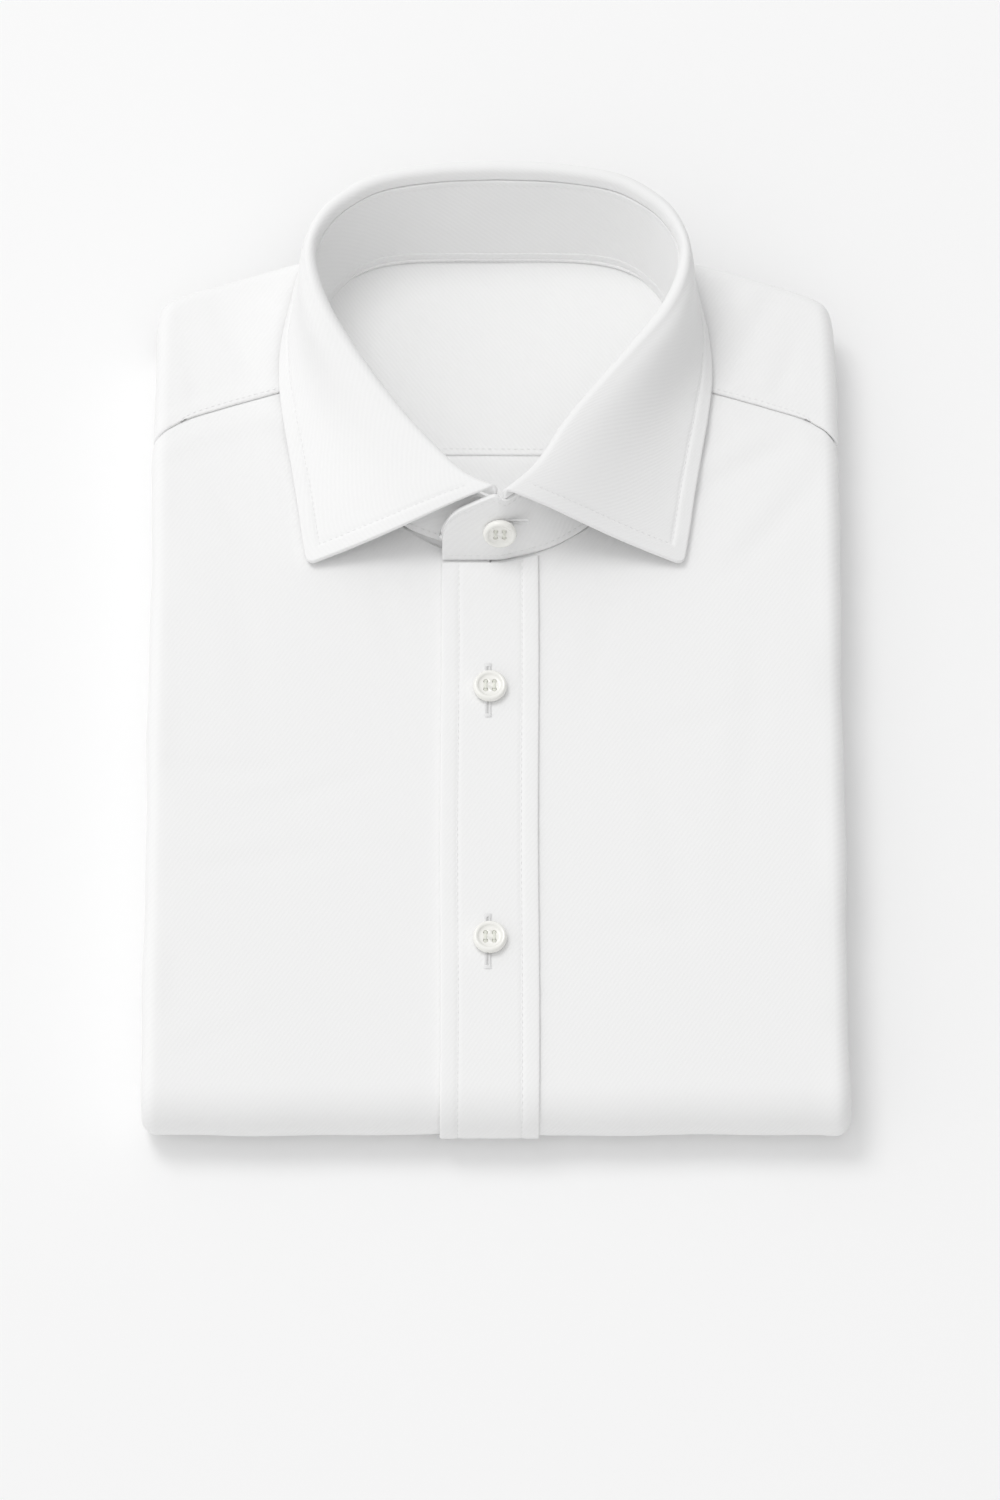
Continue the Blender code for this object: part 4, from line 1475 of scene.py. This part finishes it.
# The turned-in foot of the band: how far inward it lies, and its height there
FOOT: Table = (
    (0.55, 27.8),
    (0.8, 27.2),
    (1.0, 26.5),
    (1.1, 25.8),
    (1.2, 25.2),
    (1.3, 24.7),
    (1.4, 24.2),
    (1.5, 23.7),
    (1.6, 23.2),
)

# Places along the leaf's front end and across its edge, close together where the sewing runs
LEAF_ENDS = (0, 0.06, 0.12, 0.18, 0.25, 0.31, 0.35, 0.39, 0.42, 0.45, 0.49, 0.55, 0.64)
EDGE_INSETS = (8.2, 7.5, 7.0, 6.5, 6.0, 5.5, 5.0, 4.3, 3.4, 2.5, 1.7, 1.0, 0.0)


@dataclass
class Collar:
    """The collar: a standing band with its buttoned tab, and the turned-down leaf.

    Attributes:
        cloth: Finish of the collar.
        thread: Finish of the sewing.
        slit: Finish of the painted shadow in the buttonhole's opening.
        stand_depth: Thickness of the band.
        leaf_depth: Thickness of the leaf inside its stitched edge.
        roll: Radius of the fold along the collar's top.
        share: How far up the rise the band reaches.
        base_z: Height of the band's foot.
        band: Distance of the topstitching from the leaf's edge.
        settled: How far the leaf's edge has sunk onto the fronts.
        stand_stitch: Distance of the band's sewing from its edges.
        stand_dent: How far that sewing pulls the band in.
        under_from: Where the band's end begins to pass below the tab, in x.
        under_shift: How far it lies back there.
        tab_left: Where the tab ends, in x.
        tab_round: Length of its rounded end.
        tips: For each side, how far the leaf's front end is moved along x and y.
        tip_radius: Rounding of the leaf's two points.
        swing: How the fall's hollow changes on the way down, as a curve of second degree.
        hole_aim: Near where the collar's buttonhole lies.
        hole_tilt: How far it leans back from lying flat, in degrees.
        chance: Source of the sewing's small unevenness.
    """

    cloth: bpy.types.Material
    thread: bpy.types.Material
    slit: bpy.types.Material
    stand_depth: float = 2.0
    leaf_depth: float = 1.8
    roll: float = 1.9
    share: float = 0.87
    base_z: float = 25.3
    band: float = 6.0
    settled: float = 0.8
    stand_stitch: float = 2.2
    stand_dent: float = 0.22
    under_from: float = -34.0
    under_shift: float = 2.7
    tab_left: float = -18.9
    tab_round: float = 15.5
    tips: tuple[tuple[float, float], tuple[float, float]] = ((3.4, 2.5), (0.3, 1.3))
    tip_radius: float = 3.4
    swing: tuple[float, float, float] = (5.92, -22.8, 13.35)
    hole_aim: tuple[float, float, float] = (4.6, 220.4, 41.0)
    hole_tilt: float = 67.0
    chance: np.random.Generator = field(default_factory=lambda: np.random.default_rng(19))

    def rows(self, places: Sequence[float], moved: bool = False) -> list[tuple]:
        """Lists the collar's section at each place, from one front round to the other.

        Args:
            places: Where to sample the table, from the front at 0 to the middle of the back.
            moved: Whether the roll's front ends are moved to where the tips meet.

        Returns:
            Base, roll, edge and bow for each section, right front first.
        """
        half = interpolate(COLLAR, places)
        nearness = np.clip(1 - np.asarray(places, float), 0, 1) ** 2
        out = []
        for side, order, tip in ((-1, 1, self.tips[0]), (1, -1, self.tips[1])):
            shift = tip if moved else (0.0, 0.0)
            lines = list(zip(half, nearness))[::order][0 if side < 0 else 1 :]
            for row, near in lines:
                base = np.array([side * row[0], row[1], self.base_z])
                roll = np.array([side * row[2] + row[9], row[3], row[4]])
                roll[:2] += np.array(shift) * near
                edge = np.array([side * row[5], row[6], row[7] - self.settled])
                out.append((base, roll, edge, row[8]))
        return out

    def stand(self) -> Sheet:
        """Shapes the standing band, with its tab buttoned over the other end.

        Returns:
            The band's cloth.
        """
        rows = self.rows(spaced(0, 4, 0.1) + spaced(4, 12, 0.16) + [12.0])
        bases = [row[0] for row in rows]
        tops = [row[0] + (row[1] - row[0]) * self.share for row in rows]
        for index in range(len(rows) // 2 + 1):
            x, y, _ = bases[index]
            if x > self.under_from and y < 260.0:
                shift = self.under_shift * float(np.clip((x - self.under_from) / 14.0, 0, 1))
                rise = tops[index] - bases[index]
                bases[index] = bases[index] + np.array([0, shift, 0])
                tops[index] = bases[index] + rise * (1 - 0.03 * shift)
        onward = np.array([2.0, 0.07, 0.0])
        for _ in range(3):
            bases.insert(0, bases[0] + onward)
            tops.insert(0, tops[0] + onward)
        height = float(np.linalg.norm(tops[-1] - bases[-1]))
        lean = (tops[-1] - bases[-1]) / height
        ends = spaced(self.tab_left + 4.0, self.tab_left, 0.5) + [self.tab_left]
        for x in spaced(1.8, self.tab_left + 4.0, 1.1) + ends:
            past = np.clip((x - (self.tab_left + self.tab_round)) / -self.tab_round, 0, 1)
            drop = self.tab_round * 0.95 * (1 - math.sqrt(max(0.0, 1 - past**2)))
            rise = height * np.interp(x, *TAB_RISE)
            bases.append(np.array([x, 214.95, self.base_z]))
            tops.append(bases[-1] + lean * (rise - drop))
        bases, tops = self._eased(bases), self._eased(tops)
        shares = [0, 0.03, 0.06, 0.1] + spaced(0.15, 0.85, 0.055) + [0.85, 0.9, 0.94, 0.97, 1.0]
        grid = np.array([[low + (high - low) * s for s in shares] for low, high in zip(bases, tops)])
        normals = grid_normals(grid)
        away = np.sign(normals[len(grid) // 2, 3, 1])
        distance = arc_lengths(grid, 1)
        from_top = distance[:, -1:] - distance
        upper = self.stand_dent * bell(from_top, self.stand_stitch, 0.6)
        dent = upper + self.stand_dent * bell(distance, self.stand_stitch, 0.6)
        ripple = 0.16 * np.sin(arc_lengths(grid, 0) / 6.3) * np.sin(distance / 7.0)
        outer = grid + normals * away * (self.stand_depth / 2 + ripple - dent)[..., None]
        return Sheet(outer, self.stand_depth - dent - upper, None, away < 0, rim=0.4)

    def foot(self) -> Sheet:
        """Shapes the turned-in foot of the band's inner layer, which covers the neck seam.

        Returns:
            The foot's cloth.
        """
        rows = self.rows(spaced(1.6, 4, 0.12) + spaced(4, 12, 0.16) + [12.0])
        base = np.array([row[0] for row in rows])
        ahead = np.gradient(base, axis=0)
        inward = np.stack([ahead[:, 1], -ahead[:, 0], ahead[:, 2] * 0], axis=1)
        inward /= np.linalg.norm(inward, axis=1, keepdims=True)
        columns = [base + inward * inset + (0, 0, z - self.base_z) for inset, z in FOOT]
        outer = np.stack(columns, axis=1)
        middle = len(rows) // 2
        turned = bool(grid_normals(outer)[middle, 4, 1] > 0)
        return Sheet(outer, 0.5, None, turned)

    @staticmethod
    def _eased(line: list[np.ndarray]) -> list[np.ndarray]:
        """Rounds the small corners of a line of points.

        Args:
            line: The points.

        Returns:
            The points, moved.
        """
        points = np.array(line)
        for _ in range(2):
            points[1:-1] = 0.25 * points[:-2] + 0.5 * points[1:-1] + 0.25 * points[2:]
        return list(points)

    def section(self, base: np.ndarray, roll: np.ndarray, edge: np.ndarray, bow: float) -> list:
        """Draws the leaf's middle line: up from the band, over the roll and down to its edge.

        Args:
            base: Foot of the band.
            roll: Top of the roll.
            edge: The leaf's edge.
            bow: How hollow the fall is.

        Returns:
            The line's points.
        """
        rise = (roll - base) / np.linalg.norm(roll - base)
        fall = edge - roll
        fall[2] = 0.0
        away = fall - rise * np.dot(fall, rise)
        away = away / np.linalg.norm(away)
        seam = base + (roll - base) * self.share + rise * 0.2
        top = roll - rise * self.roll
        centre = top + away * self.roll
        line = [seam + (top - seam) * step for step in (0, 0.3, 0.6)]
        down = edge - (centre + away * self.roll)
        down = down / np.linalg.norm(down)
        last = math.pi - math.atan2(np.dot(down, away), -np.dot(down, rise))
        for step in range(11):
            angle = last * step / 10
            turn = rise * math.sin(angle) - away * math.cos(angle)
            line.append(centre + turn * self.roll)
        start = line[-1]
        span = edge - start
        out = np.cross(np.cross(span, np.array([0, 0, 1.0])), span)
        out = out / np.linalg.norm(out)
        length = float(np.linalg.norm(span))
        shares = spaced(0.04, 1 - 9 / length, 2.6 / length)
        shares = np.interp(np.linspace(0, 1, 22), np.linspace(0, 1, len(shares)), shares)
        first, second, third = self.swing
        for share in list(shares) + [1 - left / length for left in EDGE_INSETS]:
            swing = first + second * share + third * share**2
            lift = (1.0 + 0.65 * bow) * share * (1 - share) * swing
            line.append(start + span * share + out * lift)
        return line

    def leaf(self) -> Sheet:
        """Shapes the turned-down leaf, with its two points on the fronts.

        Returns:
            The leaf's cloth.
        """
        places = list(LEAF_ENDS) + spaced(0.75, 4, 0.17) + spaced(4, 12, 0.14) + [12.0]
        grid = np.array([self.section(*row) for row in self.rows(places, moved=True)])
        normals = grid_normals(grid)
        top = int(np.argmax(grid[len(grid) // 2, :, 2]))
        away = np.sign(normals[len(grid) // 2, top, 2])
        across, along = arc_lengths(grid, 1), arc_lengths(grid, 0)
        from_edge = across[:, -1:] - across
        from_front = np.minimum(along, along[-1:] - along)
        outside = smooth_step(across, 6.0, 14.0)
        nearest = np.minimum(from_edge, from_front)
        groove = -0.32 * bell(nearest, self.band, 0.6)
        welt = 0.22 * smooth_step(self.band - nearest, 0.4, 1.4)
        pucker = 0.1 * np.sin(along / 2.7) * bell(nearest, self.band, 2.2)
        body = 0.28 * np.sin(along / 19.0 + 1) * np.sin(from_edge / 17.0 + 0.5)
        body = body * smooth_step(nearest, 8, 20)
        move = self.leaf_depth / 2 + outside * (groove + welt + pucker + body)
        grid = self._rounded_points(grid, from_edge, along)
        outer = grid + (normals * away) * move[..., None]
        depth = self.leaf_depth + 2 * outside * (groove + welt)
        return Sheet(outer, depth, None, away < 0, rim=0.6)

    def _rounded_points(
        self, grid: np.ndarray, from_edge: np.ndarray, along: np.ndarray
    ) -> np.ndarray:
        """Rounds the leaf's two sharp points.

        Args:
            grid: The leaf's points.
            from_edge: Each point's distance from the leaf's long edge.
            along: Each point's distance along the leaf.

        Returns:
            The points, moved.
        """
        out = grid.copy()
        radius, last = self.tip_radius, len(grid) - 1
        for front, step in ((0, 1), (last, -1)):
            for index in range(12):
                row = front + step * index
                for column in range(grid.shape[1] - 14, grid.shape[1]):
                    first = abs(along[row, column] - along[front, column])
                    second = from_edge[row, column]
                    if first >= radius or second >= radius:
                        continue
                    u, v = 1 - first / radius, 1 - second / radius
                    shift_u = u - u * math.sqrt(1 - v * v / 2)
                    shift_v = v - v * math.sqrt(1 - u * u / 2)
                    inner_row = grid[front + step * 12, column] - grid[front, column]
                    inner_column = grid[row, -14] - grid[row, -1]
                    out[row, column] += (
                        inner_row / np.linalg.norm(inner_row) * shift_u
                        + inner_column / np.linalg.norm(inner_column) * shift_v
                    ) * radius
        return out

    def build(self) -> None:
        self._build_stand()
        self._build_leaf()

    def _build_stand(self) -> None:
        """Builds the band with its sewing and its level buttonhole."""
        stand, foot = self.stand(), self.foot()
        piece = add_cloth("collar_stand_cloth", [stand, foot], self.cloth)
        dress(piece, "collar_stand")
        upper = stand.line("last_column", self.stand_stitch, 3, -4)
        lower = stand.line("first_column", self.stand_stitch, 3, -2)
        inside = stand.line("last_column", self.stand_stitch, 14, -30)
        through = self.stand_depth - 2 * self.stand_dent
        inside = Seam(inside.points - inside.ups * through, -inside.ups)
        rows = []
        for seam in (upper, lower, inside):
            rows += FINE_STITCHES.tubes(seam, self.chance)
        thread = dress(add_tubes("collar_stand_stitches", rows, self.thread), None)
        hole, aim = Buttonhole(15.0, 2.4), np.array(self.hole_aim)
        face = stand.outer.reshape(-1, 3)
        front = face[(np.abs(face[:, 0] - aim[0]) < 3) & (face[:, 1] < 235)]
        nearest = front[np.argmin(np.linalg.norm(front - aim, axis=1))]
        centre, tilt = np.array([aim[0], nearest[1], nearest[2]]), math.radians(self.hole_tilt)
        along, up = np.array([1.0, 0.0, 0.0]), np.array([0.0, -math.sin(tilt), math.cos(tilt)])
        worked = add_tubes("collar_buttonhole", hole.tubes(centre, along, up), self.thread)
        dress(worked, None)
        # A dark tube in the slit is painted shadow inside the buttonhole's opening.
        slit = add_tubes("collar_slit_shadow", [hole.slit(centre, along, up)], self.slit)
        dress(slit, None)
        stand.flat_area() + foot.flat_area()

    def _build_leaf(self) -> None:
        """Builds the leaf, topstitched round its three free edges."""
        leaf = self.leaf()
        piece = add_cloth("collar_leaf_cloth", [leaf], self.cloth)
        dress(piece, "collar_leaf")
        rows = []
        for edge, first in (("last_column", 7), ("first_row", 14), ("last_row", 14)):
            rows += FINE_STITCHES.tubes(leaf.line(edge, self.band, first, -7), self.chance)
        thread = dress(add_tubes("collar_leaf_topstitch", rows, self.thread), None)
        leaf.flat_area()


# The buttons


def turned_solid(profile: Sequence[tuple[float, float]], sides: int) -> tuple[list, list]:
    """Turns a section round an upright axis and closes it with two flat ends.

    Args:
        profile: Radius and height of each point of the section, from below.
        sides: How many sides the round has.

    Returns:
        The corners and the faces.
    """
    points = []
    for radius, z in profile:
        for side in range(sides):
            angle = 2 * math.pi * side / sides
            points.append((radius * math.cos(angle), radius * math.sin(angle), z))
    faces = grid_faces(len(profile), sides, closed=True)[:, ::-1].tolist()
    last = (len(profile) - 1) * sides
    faces.append(list(range(sides - 1, -1, -1)))
    faces.append(list(range(last, last + sides)))
    return points, faces


@dataclass
class Buttons:
    """The three sewn-on buttons: a raised rim, a dished middle and four holes.

    Attributes:
        gloss: Finish of the buttons.
        thread: Finish of the thread that holds them.
        radius: Half the button's width.
        depth: The button's thickness.
        dish_radius: Where the dished middle begins.
        dish: How deep it is.
        hole_radius: Size of each hole.
        hole_spread: Half the distance between hole centres.
        sides: How many sides the round of a button has.
        collar_place: The middle of the collar button's underside.
        collar_tilt: How far that button leans back from lying flat, in degrees.
    """

    gloss: bpy.types.Material
    thread: bpy.types.Material
    radius: float = 6.0
    depth: float = 2.8
    dish_radius: float = 4.1
    dish: float = 0.7
    hole_radius: float = 0.75
    hole_spread: float = 1.52
    sides: int = 72
    collar_place: tuple[float, float, float] = (1.6, 219.4, 38.3)
    collar_tilt: float = 67.0

    def _profile(self) -> list[tuple[float, float]]:
        """Draws the button's section, from below to the middle of the dish.

        Returns:
            The radius and the height of each point.
        """
        edge, top = self.radius, self.depth
        knots: Table = (
            (edge - 1.6, 0.0),
            (edge - 0.9, 0.06),
            (edge - 0.3, 0.5),
            (edge, 1.3),
            (edge - 0.1, 1.9),
            (edge - 0.35, top - 0.35),
            (edge - 0.9, top),
            (self.dish_radius + 0.35, top - 0.12),
            (self.dish_radius - 0.1, top - 0.5),
            (self.dish_radius - 0.6, top - self.dish),
            (self.dish_radius - 1.4, top - self.dish - 0.05),
        )
        return [tuple(row) for row in interpolate(knots, spaced(0, 10, 0.25) + [10.0])]

    def make(self, name: str, centre: Sequence[float], tilt: float) -> None:
        """Adds one button with its threads.

        Args:
            name: The node it replaces.
            centre: The middle of its underside.
            tilt: How far it leans back from lying flat, in degrees.
        """
        profile, turn = self._profile(), math.radians(tilt)
        points, faces = turned_solid(profile, self.sides)
        rotate = np.array(
            [[1, 0, 0], [0, math.cos(turn), -math.sin(turn)], [0, math.sin(turn), math.cos(turn)]]
        )

        def place(corners: Sequence) -> np.ndarray:
            """Turns points of a level button to where this one lies."""
            return np.array(corners) @ rotate.T + np.array(centre)

        piece = add_object(f"{name}_disc", place(points), faces, self.gloss)
        cutters = [self._cutter(f"{name}_cutter", dx, dy, place) for dx in (-1, 1) for dy in (-1, 1)]
        for cutter in cutters:
            cut = piece.modifiers.new("hole", "BOOLEAN")
            cut.operation, cut.solver, cut.object = "DIFFERENCE", "EXACT", cutter
        graph = bpy.context.evaluated_depsgraph_get()
        solid = bpy.data.meshes.new_from_object(piece.evaluated_get(graph))
        piece.modifiers.clear()
        piece.data = solid
        for cutter in cutters:
            bpy.data.objects.remove(cutter, do_unlink=True)
        dress(piece, name)
        LOG.info("%s: %d faces", piece.name, len(piece.data.polygons))
        thread = add_tubes(f"{name}_threads", self._threads(place), self.thread)
        dress(thread, None)

    def _cutter(
        self, name: str, dx: int, dy: int, place: Callable[[Sequence], np.ndarray]
    ) -> bpy.types.Object:
        """Adds a flared pin that cuts one hole.

        Args:
            name: The pin's name.
            dx: The hole's side along x.
            dy: The hole's side along y.
            place: Moves points of a level button to where it lies.

        Returns:
            The pin.
        """
        top = self.depth - self.dish
        flare = ((1.0, -1.0), (1.0, top - 0.3), (1.12, top - 0.12), (1.4, top + 0.12), (1.5, 4.0))
        profile = [(self.hole_radius * grow, z) for grow, z in flare]
        points, faces = turned_solid(profile, 24)
        shift = np.array([dx * self.hole_spread, dy * self.hole_spread, 0.0])
        return add_object(name, place(np.array(points) + shift), faces, self.gloss)

    def _threads(self, place: Callable[[Sequence], np.ndarray]) -> list[Tube]:
        """Draws two bridges of thread, each over one upper and one lower hole.

        Args:
            place: Moves points of a level button to where it lies.

        Returns:
            The threads as tubes.
        """
        out, top = [], self.depth - self.dish
        for dx in (-1, 1):
            for strand, offset in enumerate((-0.34, -0.12, 0.12, 0.34)):
                path = []
                for share in np.linspace(-1, 1, 15):
                    y = self.hole_spread * math.copysign(min(abs(share) * 1.25, 1.0), share)
                    over = max(0.0, 1 - (abs(share) / 0.8) ** 4)
                    drop = 2.6 * max(0.0, abs(share) - 0.8) / 0.2
                    bunch = offset * (1 - 0.25 * abs(share))
                    lift = 0.22 + 0.1 * (strand in (1, 2))
                    path.append((dx * self.hole_spread + bunch, y, top - 0.12 + over * lift - drop))
                out.append(tube(place(path), np.full(15, 0.15), 7))
        for dx in (-1, 1):
            for dy in (-1, 1):
                spot = (dx * self.hole_spread, dy * self.hole_spread)
                path = [(*spot, z) for z in (-0.3, 0.3, 0.9, top - 0.42, top - 0.24, top - 0.18)]
                out.append(tube(place(path), np.array([0.5, 0.6, 0.66, 0.66, 0.5, 0.05]), 12))
        return out

    def build(self) -> None:
        """Adds all three buttons."""
        rest = THICKNESS + SEAM_GAP + PLACKET_CLOTH + SEAM_GAP
        for number, y in enumerate(BUTTON_ROWS, start=1):
            self.make(f"button_{number}", (BUTTON_X, y, rest), 0.0)
        self.make("button_collar", self.collar_place, self.collar_tilt)


# Floor, light and camera


@dataclass
class Studio:
    """A pale floor, a soft key from the upper left and the photograph's camera angle.

    Attributes:
        aim: What the camera looks at, in metres.
        elevation: The camera's angle above the floor, in degrees.
        distance: How far off it stands.
        lens: Its focal length, in millimetres.
        world: Brightness of the surroundings.
        brighter_side: Which side of them is brighter, and by how much.
        brightest: Limit of that difference.
        key: Power of the key light.
        key_size: Width of the key light.
        key_place: Where it hangs.
        paper: Brightness of the floor.
        paper_z: The floor's height, in millimetres.
    """

    aim: tuple[float, float, float] = (0.0016, -0.0375, 0.020)
    elevation: float = 65.0
    distance: float = 3.0
    lens: float = 204.5
    world: float = 0.85
    brighter_side: tuple[float, float, float] = (-0.8, -0.06, 0.3)
    brightest: float = 0.02
    key: float = 46.0
    key_size: float = 1.9
    key_place: tuple[float, float, float] = (-1.4, 1.6, 3.8)
    paper: float = 0.94
    paper_z: float = -0.2

    def floor(self) -> None:
        """Adds the plain pale floor."""
        reach, low = 6000.0, self.paper_z
        corners = [(-reach, -reach, low), (reach, -reach, low), (reach, reach, low), (-reach, reach, low)]
        material = bpy.data.materials.new("paper_floor")
        material.use_nodes = True
        shader = material.node_tree.nodes["Principled BSDF"]
        shader.inputs["Base Color"].default_value = (self.paper, self.paper, self.paper, 1.0)
        shader.inputs["Roughness"].default_value = 0.9
        add_object("floor", np.array(corners, float), [(0, 1, 2, 3)], material)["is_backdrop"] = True

    def lights(self) -> None:
        """Adds the white surroundings and the soft key light."""
        world = bpy.data.worlds.new("studio")
        world.use_nodes = True
        sky = world.node_tree.nodes["Background"]
        sky.inputs["Color"].default_value = (1.0, 1.0, 1.0, 1.0)
        tree = world.node_tree
        around = node(tree, "ShaderNodeTexCoord")
        slope = node(tree, "ShaderNodeVectorMath", operation="DOT_PRODUCT")
        tree.links.new(around.outputs["Generated"], slope.inputs[0])
        slope.inputs[1].default_value = self.brighter_side
        lean = math_node(tree, "MINIMUM", slope.outputs["Value"], self.brightest)
        lean = math_node(tree, "MULTIPLY", lean, self.world)
        tree.links.new(math_node(tree, "ADD", lean, self.world), sky.inputs["Strength"])
        bpy.context.scene.world = world
        lamp = bpy.data.lights.new("key", "AREA")
        lamp.shape, lamp.size, lamp.energy = "DISK", self.key_size, self.key
        key = bpy.data.objects.new("key", lamp)
        key.location = self.key_place
        key.rotation_euler = (-Vector(key.location)).to_track_quat("-Z", "Y").to_euler()
        bpy.context.scene.collection.objects.link(key)
        key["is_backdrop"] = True

    def camera(self) -> None:
        """Adds the camera and makes it the scene's own."""
        lens = bpy.data.cameras.new("photograph")
        lens.lens, lens.sensor_width, lens.clip_end = self.lens, 36.0, 10.0
        camera = bpy.data.objects.new("photograph", lens)
        turn = math.radians(self.elevation)
        back = Vector((0.0, -math.cos(turn), math.sin(turn)))
        camera.location = Vector(self.aim) + self.distance * back
        camera.rotation_euler = (-back).to_track_quat("-Z", "Y").to_euler()
        bpy.context.scene.collection.objects.link(camera)
        bpy.context.scene.camera = camera

    def build(self) -> None:
        """Sets up the whole studio."""
        self.floor()
        self.lights()
        self.camera()
        bpy.context.scene.view_settings.view_transform = "Standard"


def note_size(sizes: dict[str, object], moment: str) -> None:
    """Keeps the visual model's bounds at one moment, as plain lists.

    Args:
        sizes: What is kept so far.
        moment: The moment's name.
    """
    sizes[moment] = [[float(value) for value in corner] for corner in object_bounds()]


def main() -> None:
    """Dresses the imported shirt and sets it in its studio."""
    logging.basicConfig(level=logging.INFO, format="%(name)s: %(message)s")
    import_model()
    sizes: dict[str, object] = {}
    note_size(sizes, "after_load")
    effects = Effects()
    # white is the ribs' lit colour, and shade the painted shade between them.
    white, shade = (0.905, 0.905, 0.903), (0.878, 0.878, 0.877)
    cloth = ClothFinish("front_twill", white, shade).make(effects)
    yoke_cloth = ClothFinish("yoke_twill", white, shade).make(effects)
    collar_cloth = ClothFinish("collar_twill", white, shade).make(effects)
    # The hidden layers take a darker copy of the cloth, painted as the shade inside the folds.
    layer_cloth = ClothFinish("hidden_twill_shaded", shade, (0.82, 0.82, 0.818)).make(effects)
    thread = ThreadFinish("white_thread", (0.89, 0.89, 0.89)).make()
    tinted = ThreadFinish("button_thread", (0.86, 0.87, 0.8)).make()
    slit = ThreadFinish("slit_shadow", (0.74, 0.74, 0.72)).make()
    gloss = ButtonFinish("ivory_resin", (0.93, 0.925, 0.895), (0.87, 0.865, 0.82)).make()
    Bundle(cloth, yoke_cloth, layer_cloth, thread, slit).build()
    Collar(collar_cloth, thread, slit).build()
    Buttons(gloss, tinted).build()
    Studio().build()
    note_size(sizes, "before_finish")


if __name__ == "__main__":
    main()
